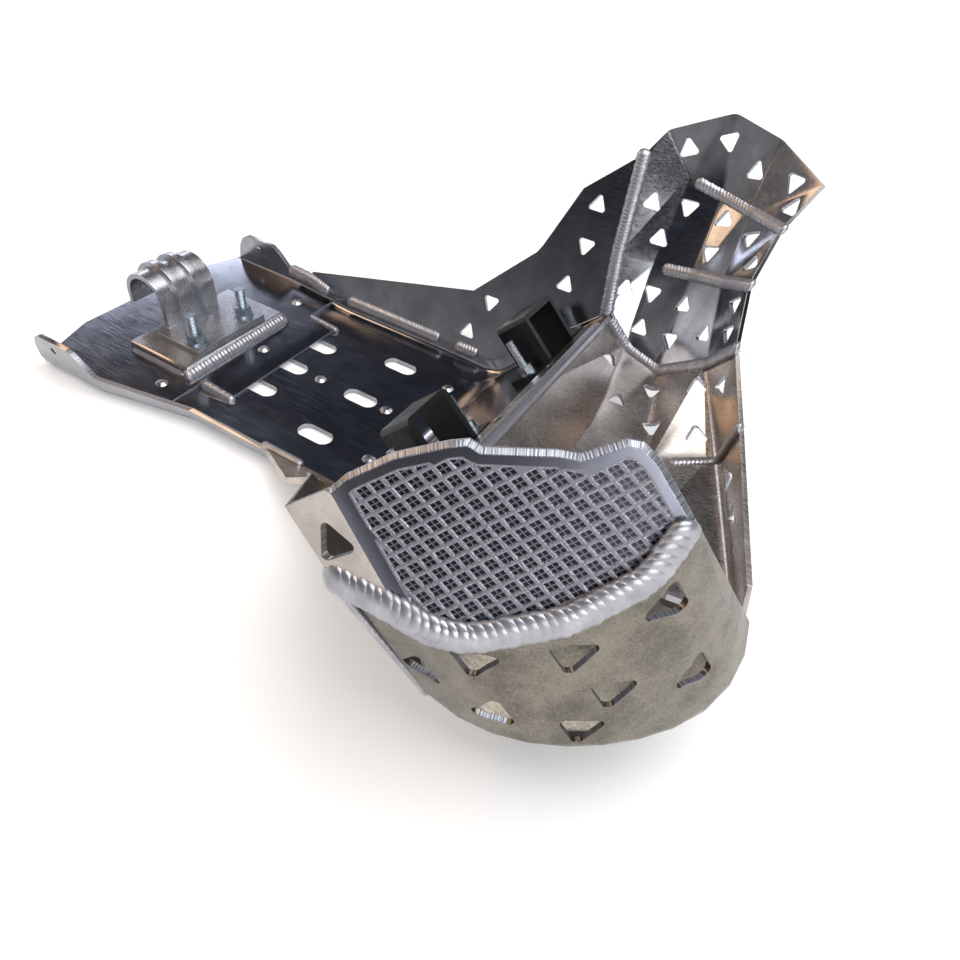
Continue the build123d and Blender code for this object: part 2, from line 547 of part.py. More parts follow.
border = offset(make_face(Polyline(edge_2d, close=True)), amount=-LATTICE_MARGIN, kind=Kind.INTERSECTION)
half_s, half_h = LATTICE_S / 2 - LATTICE_LINE, LATTICE_H / 2 - LATTICE_LINE * LATTICE_H / LATTICE_S
lattice = []
for i in range(-20, 21):
    for j in range(-16, 17):
        if (i + j) % 2 == 0:
            s, h = i * LATTICE_S / 2, j * LATTICE_H / 2
            tips = [(s - half_s, h), (s, h - half_h), (s + half_s, h), (s, h + half_h)]
            room = [clearance(*tip) for tip in tips]
            if max(room) > LATTICE_MARGIN:
                diamond = make_face(Polyline(tips, close=True))
                diamond = diamond & border if min(room) < LATTICE_MARGIN else diamond
                lattice += [extrude(panel_plane * f, amount=-ENGRAVE) for f in diamond.faces()
                            if f.area > LATTICE_LEAST]

# Right guard shell: rolled wall below the panel, folded in at the bottom

top_row = [ends[0]] + seam
shell_start = with_ridge(SHELL_START)
low_row = [shell_start] + flowing([with_ridge(p) for p in SHELL_LOW], SHELL_COLS - 1)
inner = [with_ridge(p) for p in SHELL_INNER]
per_leg = (SHELL_COLS - 1) // (len(inner) - 1)
inner_row = [inner[0]] + [a + (b - a) * (k / per_leg) for a, b in zip(inner, inner[1:])
                          for k in range(1, per_leg + 1)]
shares = [k / (SHELL_COLS - 1) for k in range(SHELL_COLS)]
under_row = [b + unit(c - b) * min(SHELL_BEVEL * (1 - q), (c - b).length / 2) - UP * SHELL_DROP * q
             for q, b, c in zip(shares, low_row, inner_row)]
columns = [soft(corners, FOLD_R) for corners in zip(top_row, low_row, under_row, inner_row)]
shell_blank = strip([list(row) for row in zip(*columns)], GUARD_T, flip=True)
shell_blank = largest(shell_blank - [panel_blank, trough_blank])


def shell_hole(u, v, spin):
    """Cutter on the rolled wall, u along the seam and v down from it."""
    k = min(int(u * (SHELL_COLS - 1)), SHELL_COLS - 2)
    p, n = patch(top_row[k], top_row[k + 1], low_row[k + 1], low_row[k], u * (SHELL_COLS - 1) - k, v)
    return tri_hole(p, n, UP, spin, NEAR_HOLE_R)


shell_cuts = [shell_hole(*spot) for spot in SHELL_HOLES]

# Right wing and return panel


def facing(points, facets, direction):
    """The facets wound so that each faces along the direction."""
    pts = [Vector(*p) for p in points]
    return [f if newell([pts[k] for k in f]).dot(direction) > 0 else f[::-1] for f in facets]


def right_side_top(y, up):
    """Top of the base plate's right side, mirrored from the left."""
    p = on_wing(y, up)
    return (-p.X, p.Y, p.Z)


side_line = [right_side_top(*q) for q in [(WING_START, side_tops[1][1])] + side_tops[1:]]
trough_edge = [tuple(p) for p in trough_rows[-1]]
wing_pts = side_line + [WING_REAR, WING_ROOT, tuple(inner[0] + UP * T), trough_edge[1], trough_edge[0]]
last = len(side_line) - 1
g1, root, e0, t1, t0 = range(last + 1, last + 6)
wing_facets = [[0, g1, 1], [g1, 2, 1], [g1, root, 3, 2]]
wing_facets += [[root, k + 1, k] for k in range(3, last)] + [[root, e0, last], [e0, t1, t0, last]]
right_wing_blank = sheet(wing_pts, facing(wing_pts, wing_facets, UP))
right_wing_blank = largest(right_wing_blank - [base_blank, trough_blank, shell_blank])
ret_pts = [tuple(p) for p in (ends[1], ends[0], shell_start, inner[0], WING_ROOT)]
ret_facets = facing(ret_pts, [[0, 1, 2], [0, 2, 3], [0, 3, 4]], Vector(-0.5, 0.8, -0.2))
return_blank = sheet(ret_pts, ret_facets, GUARD_T)
return_blank = largest(return_blank - [panel_blank, shell_blank, right_wing_blank])

# Finished sheets

keep("base_plate", base_blank - (base_cuts + bore_m6 + rivet_cuts + sink + ear_holes + bar_holes))
keep("rear_plate", rear_blank - (bore_m8 + rivet_cuts))
keep("rear_pad", pad_blank - bore_m8)
keep("rear_saddle", saddle - bore_m8)
keep("rear_bolts", *rear_bolts)
keep("rear_washers", *rear_washers)
keep("rear_nuts", *rear_nuts)
keep("left_wing", wing_blank - wing_cuts)
keep("left_guard_shell", left_blank - guard_holes(guard, LEFT_HOLES))
keep("centre_trough", trough_blank - guard_holes(trough_rows, TROUGH_HOLES))
keep("right_guard_panel", panel_body - (panel_cuts + lattice))
keep("right_guard_shell", shell_blank - shell_cuts)
keep("right_return_panel", return_blank)
keep("right_wing", right_wing_blank)
keep("left_frame_clamp", frame_clamp(CLAMP_X) - bore_m6)
keep("right_frame_clamp", frame_clamp(-CLAMP_X) - bore_m6)
keep("clamp_bolts", *clamp_bolts)
keep("clamp_washers", *clamp_washers)
keep("clamp_nuts", *clamp_nuts)
keep("cross_bar", cross_bar - bar_holes)
keep("floor_rivets", *rivets)

# Weld beads, each cut by the sheets that it joins


def weld(name, paths, joined, radius=BEAD, rippled=False):
    """One weld node of one or more beads."""
    keep(name, *[bead(path, radius, rippled) - joined for path in paths])


pad_l, pad_r = PAD_X - PAD_HALF, PAD_X + PAD_HALF
pad_front = [(pad_l + 2, PAD_Y0 - 1, rear_z + 2), (pad_r - 2, PAD_Y0 - 1, rear_z + 2)]
pad_rest = [[(x, PAD_Y0 + 9, rear_z), (x, PAD_Y1 - 5, rear_z)] for x in (pad_l, pad_r)]
pad_rest.append([(pad_l + 5, PAD_Y1, rear_z), (pad_r - 5, PAD_Y1, rear_z)])
weld("pad_front_weld", [pad_front], [rear_blank, pad_blank], BIG_BEAD, True)
weld("pad_side_welds", pad_rest, [rear_blank, pad_blank, nodes["pad_front_weld"]], SMALL_BEAD)

tongue_x = TONGUE_HALF + 1
weld("tongue_welds", [[(x, LIP_FRONT, T + 1), (x, TONGUE_Y - 6, T + 3)] for x in (-tongue_x, tongue_x)],
     [base_blank, rear_blank])

low_up = side_tops[1][1]
stitches = [(154, 64), (40, 26)]
weld("left_wing_stitches", [[on_wing(a, low_up), on_wing(b, low_up)] for a, b in stitches],
     [base_blank, wing_blank, rear_blank])
ear_path = [on_wing(EAR_FRONT - back, low_up + up) for back, up in EAR_WELD]
weld("ear_weld", [ear_path], [base_blank, wing_blank, rear_blank])

foot_path = [on_wing(*q) for q in feet[:1] + feet[2:]]
weld("guard_foot_weld", [foot_path], [wing_blank, left_blank, base_blank, trough_blank])
darts = [[row[1] * 0.7 + row[2] * 0.3] + soft(row[1:], FOLD_R)[2:] for row in guard[1:3]]
weld("guard_dart_welds", darts, [left_blank])
weld("trough_left_weld", [[p + Vector(0, 1.2, 1.2) for p in soft(guard[-1], FOLD_R)[3:]]],
     [left_blank, trough_blank, base_blank])
mid, end = trough_rows[1], trough_rows[2]
weld("trough_centre_weld", [[mid[2] * 0.6 + mid[3] * 0.4] + soft(mid[2:], FOLD_R)[1:]], [trough_blank])
weld("trough_right_weld", [[(end[2] + end[3]) * 0.5, end[3] * 0.9 + end[2] * 0.1]],
     [trough_blank, shell_blank])

weld("panel_weld", [[p + PANEL_N * 1.5 for p in top_row[:-1] + [top_row[-2] * 0.3 + top_row[-1] * 0.7]]],
     [panel_blank, shell_blank, return_blank], BIG_BEAD, True)
bar_x = BAR_HALF + 1
weld("bar_welds", [[on_incline(x, bar_s - 5), on_incline(x, bar_s + 3)] for x in (-bar_x, bar_x)],
     [base_blank, cross_bar, trough_blank, wing_blank, left_blank, nodes["guard_foot_weld"]], SMALL_BEAD)
weld("ridge_weld", [[end[0] + Vector(6, 0, 0), mid[0] + Vector(80, 0, 0)]],
     [base_blank, trough_blank, cross_bar, right_wing_blank], SMALL_BEAD)
weld("right_wing_stitches", [[side_line[0], side_line[1]], [side_line[3], side_line[5]]],
     [base_blank, right_wing_blank], SMALL_BEAD)
weld("return_welds", [[WING_ROOT, ret_pts[3]], [ret_pts[1], ret_pts[2]]],
     [return_blank, right_wing_blank, shell_blank, panel_blank, nodes["panel_weld"]], SMALL_BEAD)

os.makedirs("parts", exist_ok=True)
for name, node in nodes.items():
    moved = [Pos(0, -FRAME_Y, 0) * s for s in node.solids()]
    node = moved[0] if len(moved) == 1 else Compound(children=moved)
    export_step(node, f"parts/{name}.step")
    box = node.bounding_box()
    print(name, len(node.solids()), round(node.volume / 1000, 2), "cm3",
          [round(v, 1) for v in (*box.min, *box.max)], node.is_valid)
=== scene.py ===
"""Dresses a motorcycle skid plate: raw sheet aluminium, weld beads, black clamps and zinc bolts.

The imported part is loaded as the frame. Each sheet is redrawn from its own solid with softened edges
and bright laser cut walls, most beads are laid again as rows of overlapping puddles, and the small
hardware keeps its CAD mesh under a better finish. Lengths are metres unless a name ends in _mm.
"""

from __future__ import annotations

import json
import logging
import math
from dataclasses import dataclass
from enum import Enum, IntEnum

import bmesh
import bpy
from mathutils import Matrix, Quaternion, Vector
from mathutils.kdtree import KDTree

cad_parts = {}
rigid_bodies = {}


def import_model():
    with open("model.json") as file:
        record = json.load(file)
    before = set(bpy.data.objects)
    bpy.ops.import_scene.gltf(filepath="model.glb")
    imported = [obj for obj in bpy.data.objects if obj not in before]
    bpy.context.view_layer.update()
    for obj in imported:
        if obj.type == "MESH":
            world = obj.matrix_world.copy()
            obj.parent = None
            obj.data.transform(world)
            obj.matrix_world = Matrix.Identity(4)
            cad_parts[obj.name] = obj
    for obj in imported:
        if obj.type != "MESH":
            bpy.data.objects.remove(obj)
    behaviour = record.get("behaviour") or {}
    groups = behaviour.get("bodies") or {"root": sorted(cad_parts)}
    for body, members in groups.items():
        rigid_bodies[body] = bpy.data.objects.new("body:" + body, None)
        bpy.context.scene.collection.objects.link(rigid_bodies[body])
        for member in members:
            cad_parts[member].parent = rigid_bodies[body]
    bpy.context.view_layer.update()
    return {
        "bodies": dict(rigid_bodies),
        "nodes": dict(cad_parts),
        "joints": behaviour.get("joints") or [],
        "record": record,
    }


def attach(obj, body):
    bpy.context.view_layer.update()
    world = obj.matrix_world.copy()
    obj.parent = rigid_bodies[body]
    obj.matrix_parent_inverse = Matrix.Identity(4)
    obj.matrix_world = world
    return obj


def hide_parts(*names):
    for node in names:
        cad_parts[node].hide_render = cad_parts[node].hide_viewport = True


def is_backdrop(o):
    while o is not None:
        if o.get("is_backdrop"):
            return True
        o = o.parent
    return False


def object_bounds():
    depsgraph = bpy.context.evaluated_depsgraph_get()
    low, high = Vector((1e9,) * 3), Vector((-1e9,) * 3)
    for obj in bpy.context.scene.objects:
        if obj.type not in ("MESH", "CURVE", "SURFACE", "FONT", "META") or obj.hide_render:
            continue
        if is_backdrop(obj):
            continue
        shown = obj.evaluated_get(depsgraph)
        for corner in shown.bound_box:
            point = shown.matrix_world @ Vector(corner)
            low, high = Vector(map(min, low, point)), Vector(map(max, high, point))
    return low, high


LOG = logging.getLogger("skid_plate")
MM = 0.001
ROOT = "root"
NOISE_LOW, NOISE_HIGH = 0.3, 0.7    # most values of a noise texture lie between these
WAVE_BAND = math.pi / 10            # width of one band of the wave texture at a scale of one

Pair = tuple[float, float]
Triple = tuple[float, float, float]


class Slot(Enum):
    """The record's material slots for the sheets and the welds."""

    SHEET = "sheet"
    WELD = "weld"


class FaceSlot(IntEnum):
    """Order of the materials on a redrawn sheet, after its own finish."""

    CUT = 1
    ETCHED = 2
    POLISHED = 3


class Finish(Enum):
    """The finishes, by the name of their field in the rack."""

    SHEET = "sheet"
    FLOOR = "floor"
    SKIN = "skin"
    WORKED = "worked"
    CUT = "cut"
    WELD = "weld"
    ETCHED = "etched"
    POLISHED = "polished"
    PAINT = "paint"
    ZINC = "zinc"
    UPRIGHT_STUD = "upright_stud"
    LEANING_STUD = "leaning_stud"
    RIVET = "rivet"


def linear(hex_code: str) -> tuple[float, float, float, float]:
    """Turns an sRGB hex colour into linear RGBA.

    Args:
        hex_code: A colour such as "#a1b2c3".

    Returns:
        The linear red, green and blue, and an alpha of one.
    """
    shares = [int(hex_code[i:i + 2], 16) / 255 for i in (1, 3, 5)]
    red, green, blue = (c / 12.92 if c <= 0.04045 else ((c + 0.055) / 1.055) ** 2.4 for c in shares)
    return red, green, blue, 1.0


def per_metre(size_mm: float) -> float:
    """Texture scale, in repeats per metre, of a feature of that size."""
    return 1.0 / (size_mm * MM)


def add_node(
    tree: bpy.types.NodeTree,
    kind: str,
    settings: dict[str, object] | None = None,
    inputs: dict[str | int, object] | None = None,
) -> bpy.types.Node:
    """Adds a shader node with its settings, values and links.

    Args:
        tree: The material's or the world's node tree.
        kind: The node's type name.
        settings: Properties of the node itself.
        inputs: Values for its sockets, or output sockets to link to them.

    Returns:
        The new node.
    """
    node = tree.nodes.new(kind)
    for name, value in (settings or {}).items():
        setattr(node, name, value)
    for name, value in (inputs or {}).items():
        socket = node.inputs[name]
        if isinstance(value, bpy.types.NodeSocket):
            tree.links.new(value, socket)
        else:
            socket.default_value = value
    return node


def new_tree(name: str) -> tuple[bpy.types.Material, bpy.types.NodeTree]:
    """Makes an empty node material.

    Args:
        name: The material's name.

    Returns:
        The material and its cleared node tree.
    """
    material = bpy.data.materials.new(name)
    material.use_nodes = True
    material.node_tree.nodes.clear()
    return material, material.node_tree


def finish_surface(tree: bpy.types.NodeTree, inputs: dict[str | int, object]) -> None:
    """Closes a material with one Principled shader.

    Args:
        tree: The material's node tree.
        inputs: The shader's values and links.
    """
    shader = add_node(tree, "ShaderNodeBsdfPrincipled", inputs=inputs)
    add_node(tree, "ShaderNodeOutputMaterial", inputs={"Surface": shader.outputs[0]})


@dataclass(frozen=True)
class Drawing:
    """The part's own sizes that its weld seams follow.

    They are mm and degrees, with Y counted from the floor's fold.
    """

    frame_y: float = 100.0
    sheet: float = 4.0
    wing_lean: float = 62.0
    wing_x0: float = 86.6
    panel_point: Triple = (-189.0, -148.0, 163.0)
    panel_tilt: float = 31.0
    panel_turn: float = 20.5
    panel_proud: float = 1.5
    lattice_long: float = 9.0
    lattice_high: float = 7.0

    def place(self, x: float, y: float, z: float) -> Vector:
        """A drawn point in the frame, in metres."""
        return Vector((x, y - self.frame_y, z)) * MM

    def run(self, points: tuple[Triple, ...]) -> tuple[Vector, ...]:
        """Several drawn points in the frame, in metres."""
        return tuple(self.place(*point) for point in points)

    def on_wing(self, y: float, up: float) -> Vector:
        """A point on the left wing's inner face, up its slope from the floor's top."""
        lean = math.radians(self.wing_lean)
        return self.place(self.wing_x0 + up * math.cos(lean), y, self.sheet + up * math.sin(lean))

    def run_on_wing(self, spots: tuple[Pair, ...]) -> tuple[Vector, ...]:
        """Several points on the left wing's inner face."""
        return tuple(self.on_wing(*spot) for spot in spots)

    def panel_axes(self) -> tuple[Vector, Vector, Vector]:
        """Works out how the right guard panel stands.

        Returns:
            Its own directions: forward, up its face, and outward.
        """
        tilt, turn = math.radians(self.panel_tilt), math.radians(self.panel_turn)
        ahead = Vector((math.sin(turn), -math.cos(turn), 0.0))
        outward = Vector((-math.cos(tilt) * math.cos(turn), -math.cos(tilt) * math.sin(turn),
                          math.sin(tilt)))
        return ahead, outward.cross(ahead), outward

    def on_panel(self, along: float, up: float) -> Vector:
        """A point just proud of the right guard panel's outer face."""
        ahead, rise, outward = self.panel_axes()
        offset = ahead * along + rise * up + outward * self.panel_proud
        return self.place(*self.panel_point) + offset * MM


@dataclass(frozen=True)
class MillAluminium:
    """Rolled sheet aluminium as it leaves the mill: a soft grey mirror, clouded and streaked.

    The rolls leave a long faint grain, handling leaves dull clouds, and the sheet stays reflective
    enough to show its surroundings as long soft smears.
    """

    name: str
    bright: str
    dull: str
    rough_low: float
    rough_high: float
    cloud_mm: float = 26.0
    streak_mm: float = 1.1
    stretch: Triple = (1.0, 0.05, 1.0)
    grit_mm: float = 0.9
    grit_lift_mm: float = 0.05
    speckle: float = 0.25

    def build(self) -> bpy.types.Material:
        """Builds the clouded, streaked sheet.

        Returns:
            The material.
        """
        material, tree = new_tree(self.name)
        where = add_node(tree, "ShaderNodeTexCoord").outputs["Object"]
        clouds = add_node(tree, "ShaderNodeTexNoise", None,
                          {"Vector": where, "Scale": per_metre(self.cloud_mm), "Detail": 5.0,
                           "Roughness": 0.62})
        along = add_node(tree, "ShaderNodeMapping", None, {"Vector": where, "Scale": self.stretch})
        streaks = add_node(tree, "ShaderNodeTexNoise", None,
                           {"Vector": along.outputs[0], "Scale": per_metre(self.streak_mm),
                            "Detail": 3.0})
        grit = add_node(tree, "ShaderNodeTexNoise", None,
                        {"Vector": where, "Scale": per_metre(self.grit_mm), "Detail": 4.0,
                         "Roughness": 0.7})
        mottle = add_node(tree, "ShaderNodeMix", {"data_type": "FLOAT"},
                          {"Factor": self.speckle, 2: clouds.outputs[0], 3: grit.outputs[0]})
        tone = add_node(tree, "ShaderNodeMapRange", {"interpolation_type": "SMOOTHSTEP"},
                        {"Value": mottle.outputs[0], "From Min": 0.36, "From Max": 0.64})
        colour = add_node(tree, "ShaderNodeMix", {"data_type": "RGBA"},
                          {"Factor": tone.outputs[0], 6: linear(self.dull), 7: linear(self.bright)})
        rough = add_node(tree, "ShaderNodeMapRange", None,
                         {"Value": streaks.outputs[0], "From Min": NOISE_LOW,
                          "From Max": NOISE_HIGH, "To Min": self.rough_low,
                          "To Max": self.rough_high})
        relief = add_node(tree, "ShaderNodeBump", None,
                          {"Height": grit.outputs[0], "Strength": 0.2,
                           "Distance": self.grit_lift_mm * MM})
        finish_surface(tree, {"Base Color": colour.outputs[2], "Metallic": 1.0,
                              "Roughness": rough.outputs[0], "Normal": relief.outputs[0]})
        return material


@dataclass(frozen=True)
class CutWall:
    """Laser cut aluminium edge: bright metal combed across the sheet by the beam.

    The real striations are about 0.3 mm apart. They are drawn coarser so that they show.
    """

    name: str = "laser_cut_aluminium_edge"
    bright: str = "#b9bbc4"
    dark: str = "#5c5f6a"
    pitch_mm: float = 0.7
    groove_mm: float = 0.25
    metallic: float = 0.75
    rough: float = 0.3
    uv_map: str = "along_cut"

    def build(self) -> bpy.types.Material:
        """Builds the combed edge from the wall's own UV map.

        Returns:
            The material.
        """
        material, tree = new_tree(self.name)
        where = add_node(tree, "ShaderNodeUVMap", {"uv_map": self.uv_map}).outputs[0]
        comb = add_node(tree, "ShaderNodeTexNoise", {"noise_dimensions": "2D"},
                        {"Vector": where, "Scale": per_metre(self.pitch_mm), "Detail": 2.0})
        tone = add_node(tree, "ShaderNodeMapRange", None,
                        {"Value": comb.outputs[0], "From Min": 0.35, "From Max": 0.62})
        colour = add_node(tree, "ShaderNodeMix", {"data_type": "RGBA"},
                          {"Factor": tone.outputs[0], 6: linear(self.dark), 7: linear(self.bright)})
        relief = add_node(tree, "ShaderNodeBump", None,
                          {"Height": comb.outputs[0], "Strength": 0.6,
                           "Distance": self.groove_mm * MM})
        finish_surface(tree, {"Base Color": colour.outputs[2], "Metallic": self.metallic,
                              "Roughness": self.rough, "Normal": relief.outputs[0]})
        return material


@dataclass(frozen=True)
class WeldMetal:
    """Frozen weld puddles of aluminium filler: bright and liquid smooth, with fine wrinkles."""

    name: str = "weld_bead_aluminium"
    bright: str = "#c4c4ca"
    dull: str = "#88888f"
    bright_rough: float = 0.30
    dull_rough: float = 0.46
    metallic: float = 0.85
    haze_mm: float = 9.0
    wrinkle_mm: float = 1.6
    wrinkle_lift_mm: float = 0.2

    def build(self) -> bpy.types.Material:
        """Builds the bright puddle skin.

        Returns:
            The material.
        """
        material, tree = new_tree(self.name)
        where = add_node(tree, "ShaderNodeTexCoord").outputs["Object"]
        wrinkle = add_node(tree, "ShaderNodeTexNoise", None,
                           {"Vector": where, "Scale": per_metre(self.wrinkle_mm), "Detail": 3.0})
        haze = add_node(tree, "ShaderNodeTexNoise", None,
                        {"Vector": where, "Scale": per_metre(self.haze_mm), "Detail": 3.0})
        colour = add_node(tree, "ShaderNodeMix", {"data_type": "RGBA"},
                          {"Factor": haze.outputs[0], 6: linear(self.dull), 7: linear(self.bright)})
        rough = add_node(tree, "ShaderNodeMapRange", None,
                         {"Value": haze.outputs[0], "From Min": NOISE_LOW, "From Max": NOISE_HIGH,
                          "To Min": self.dull_rough, "To Max": self.bright_rough})
        relief = add_node(tree, "ShaderNodeBump", None,
                          {"Height": wrinkle.outputs[0], "Strength": 0.25,
                           "Distance": self.wrinkle_lift_mm * MM})
        finish_surface(tree, {"Base Color": colour.outputs[2], "Metallic": self.metallic,
                              "Roughness": rough.outputs[0], "Normal": relief.outputs[0]})
        return material


@dataclass(frozen=True)
class EtchedFace:
    """Laser etched aluminium: pale frosted ribs between the diamonds, and a polished border.

    The mesh carries a mask that is one at the lattice and falls to nothing at the panel's rim.
    """

    name: str = "laser_etched_aluminium"
    pale: str = "#8c8c95"
    grey: str = "#6a6a72"
    border: str = "#6f707a"
    border_dark: str = "#4f5059"
    border_rough: float = 0.24
    frost_rough: float = 0.55
    frost_metallic: float = 0.6
    raster_mm: float = 0.8
    haze_mm: float = 14.0
    mask: str = "etched"
    mask_edge: float = 0.9

    def build(self) -> bpy.types.Material:
        """Builds the frosted ribs and the polished border.

        Returns:
            The material.
        """
        material, tree = new_tree(self.name)
        where = add_node(tree, "ShaderNodeTexCoord").outputs["Object"]
        raster = add_node(tree, "ShaderNodeTexNoise", None,
                          {"Vector": where, "Scale": per_metre(self.raster_mm), "Detail": 2.0})
        haze = add_node(tree, "ShaderNodeTexNoise", None,
                        {"Vector": where, "Scale": per_metre(self.haze_mm), "Detail": 4.0})
        frost = add_node(tree, "ShaderNodeMix", {"data_type": "RGBA"},
                         {"Factor": raster.outputs[0], 6: linear(self.grey), 7: linear(self.pale)})
        plain = add_node(tree, "ShaderNodeMix", {"data_type": "RGBA"},
                         {"Factor": haze.outputs[0], 6: linear(self.border_dark),
                          7: linear(self.border)})
        mask = add_node(tree, "ShaderNodeAttribute", {"attribute_name": self.mask}).outputs["Fac"]
        inside = add_node(tree, "ShaderNodeMath", {"operation": "GREATER_THAN"},
                          {0: mask, 1: self.mask_edge}).outputs[0]
        colour = add_node(tree, "ShaderNodeMix", {"data_type": "RGBA"},
                          {"Factor": inside, 6: plain.outputs[2], 7: frost.outputs[2]})
        metal = add_node(tree, "ShaderNodeMapRange", None,
                         {"Value": inside, "To Min": 1.0, "To Max": self.frost_metallic})
        rough = add_node(tree, "ShaderNodeMapRange", None,
                         {"Value": inside, "To Min": self.border_rough, "To Max": self.frost_rough})
        finish_surface(tree, {"Base Color": colour.outputs[2], "Metallic": metal.outputs[0],
                              "Roughness": rough.outputs[0]})
        return material


@dataclass(frozen=True)
class SatinPaint:
    """Black satin powder coat: near black, with a soft sheen and a faint orange peel."""

    name: str = "black_powder_coat"
    black: str = "#0b0c0f"
    worn: str = "#15161a"
    black_rough: float = 0.26
    worn_rough: float = 0.42
    dust_mm: float = 14.0
    peel_mm: float = 1.4
    peel_lift_mm: float = 0.1

    def build(self) -> bpy.types.Material:
        """Builds the coat with its orange peel.

        Returns:
            The material.
        """
        material, tree = new_tree(self.name)
        where = add_node(tree, "ShaderNodeTexCoord").outputs["Object"]
        peel = add_node(tree, "ShaderNodeTexNoise", None,
                        {"Vector": where, "Scale": per_metre(self.peel_mm), "Detail": 2.0})
        dust = add_node(tree, "ShaderNodeTexNoise", None,
                        {"Vector": where, "Scale": per_metre(self.dust_mm), "Detail": 4.0})
        colour = add_node(tree, "ShaderNodeMix", {"data_type": "RGBA"},
                          {"Factor": dust.outputs[0], 6: linear(self.black), 7: linear(self.worn)})
        rough = add_node(tree, "ShaderNodeMapRange", None,
                         {"Value": dust.outputs[0], "From Min": NOISE_LOW, "From Max": NOISE_HIGH,
                          "To Min": self.black_rough, "To Max": self.worn_rough})
        relief = add_node(tree, "ShaderNodeBump", None,
                          {"Height": peel.outputs[0], "Strength": 0.2,
                           "Distance": self.peel_lift_mm * MM})
        finish_surface(tree, {"Base Color": colour.outputs[2], "Roughness": rough.outputs[0],
                              "Normal": relief.outputs[0]})
        return material


@dataclass(frozen=True)
class PlatedSteel:
    """Bright zinc plate on steel: a cool, slightly blue metal with a soft haze.

    A threaded stud also shows its pitch as a fine wave along its axis, which leans by lean_deg.
    """

    name: str
    bright: str = "#cfd9e2"
    shade: str = "#97a5b3"
    shade_rough: float = 0.22
    bright_rough: float = 0.36
    haze_mm: float = 2.5
    thread_mm: float = 0.0
    thread_depth: float = 0.5
    lean_deg: float = 0.0

    def build(self) -> bpy.types.Material:
        """Builds the plated metal.

        Returns:
            The material.
        """
        material, tree = new_tree(self.name)
        where = add_node(tree, "ShaderNodeTexCoord").outputs["Object"]
        haze = add_node(tree, "ShaderNodeTexNoise", None,
                        {"Vector": where, "Scale": per_metre(self.haze_mm), "Detail": 4.0})
        colour = add_node(tree, "ShaderNodeMix", {"data_type": "RGBA"},
                          {"Factor": haze.outputs[0], 6: linear(self.shade),
                           7: linear(self.bright)})
        rough = add_node(tree, "ShaderNodeMapRange", None,
                         {"Value": haze.outputs[0], "From Min": NOISE_LOW, "From Max": NOISE_HIGH,
                          "To Min": self.shade_rough, "To Max": self.bright_rough})
        inputs = {"Base Color": colour.outputs[2], "Metallic": 1.0, "Roughness": rough.outputs[0]}
        if self.thread_mm:
            inputs["Normal"] = self.thread(tree, where)
        finish_surface(tree, inputs)
        return material

    def thread(self, tree: bpy.types.NodeTree, where: bpy.types.NodeSocket) -> bpy.types.NodeSocket:
        """Adds the thread's relief.

        Args:
            tree: The material's node tree.
            where: Object coordinates.

        Returns:
            The normal that the thread bends.
        """
        turned = add_node(tree, "ShaderNodeMapping", None,
                          {"Vector": where, "Rotation": (math.radians(self.lean_deg), 0.0, 0.0)})
        wave = add_node(tree, "ShaderNodeTexWave", {"bands_direction": "Z"},
                        {"Vector": turned.outputs[0],
                         "Scale": per_metre(self.thread_mm) * WAVE_BAND})
        return add_node(tree, "ShaderNodeBump", None,
                        {"Height": wave.outputs[0], "Strength": 0.8,
                         "Distance": self.thread_depth * self.thread_mm * MM}).outputs[0]


@dataclass(frozen=True)
class PolishedCells:
    """Floors of the engraved diamonds: dark polished metal, parted by finer etched lines."""

    name: str = "polished_aluminium_cells"
    dark: str = "#222128"
    shade: str = "#3d3c44"
    line: str = "#6d6d75"
    floor_rough: float = 0.26
    line_rough: float = 0.5
    line_mm: float = 0.5
    haze_mm: float = 12.0

    def build(self) -> bpy.types.Material:
        """Builds the polished floor and draws the lines through the middle of each diamond.

        Returns:
            The material.
        """
        material, tree = new_tree(self.name)
        drawing = Drawing()
        where = add_node(tree, "ShaderNodeTexCoord").outputs["Object"]
        local = add_node(tree, "ShaderNodeVectorMath", {"operation": "SUBTRACT"},
                         {0: where, 1: drawing.place(*drawing.panel_point)}).outputs[0]
        ahead, rise, _ = drawing.panel_axes()
        along, up = ahead * per_metre(drawing.lattice_long), rise * per_metre(drawing.lattice_high)
        lines = []
        for step in (along + up, along - up):
            share = add_node(tree, "ShaderNodeVectorMath", {"operation": "DOT_PRODUCT"},
                             {0: local, 1: step}).outputs["Value"]
            away = add_node(tree, "ShaderNodeMath", {"operation": "PINGPONG"}, {0: share, 1: 0.5})
            near = add_node(tree, "ShaderNodeMath", {"operation": "LESS_THAN"},
                            {0: away.outputs[0], 1: step.length * self.line_mm * MM / 2})
            lines.append(near.outputs[0])
        mask = add_node(tree, "ShaderNodeMath", {"operation": "MAXIMUM"},
                        {0: lines[0], 1: lines[1]})
        haze = add_node(tree, "ShaderNodeTexNoise", None,
                        {"Vector": where, "Scale": per_metre(self.haze_mm), "Detail": 4.0})
        floor = add_node(tree, "ShaderNodeMix", {"data_type": "RGBA"},
                         {"Factor": haze.outputs[0], 6: linear(self.dark), 7: linear(self.shade)})
        colour = add_node(tree, "ShaderNodeMix", {"data_type": "RGBA"},
                          {"Factor": mask.outputs[0], 6: floor.outputs[2], 7: linear(self.line)})
        rough = add_node(tree, "ShaderNodeMapRange", None,
                         {"Value": mask.outputs[0], "To Min": self.floor_rough,
                          "To Max": self.line_rough})
        finish_surface(tree, {"Base Color": colour.outputs[2], "Metallic": 1.0,
                              "Roughness": rough.outputs[0]})
        return material


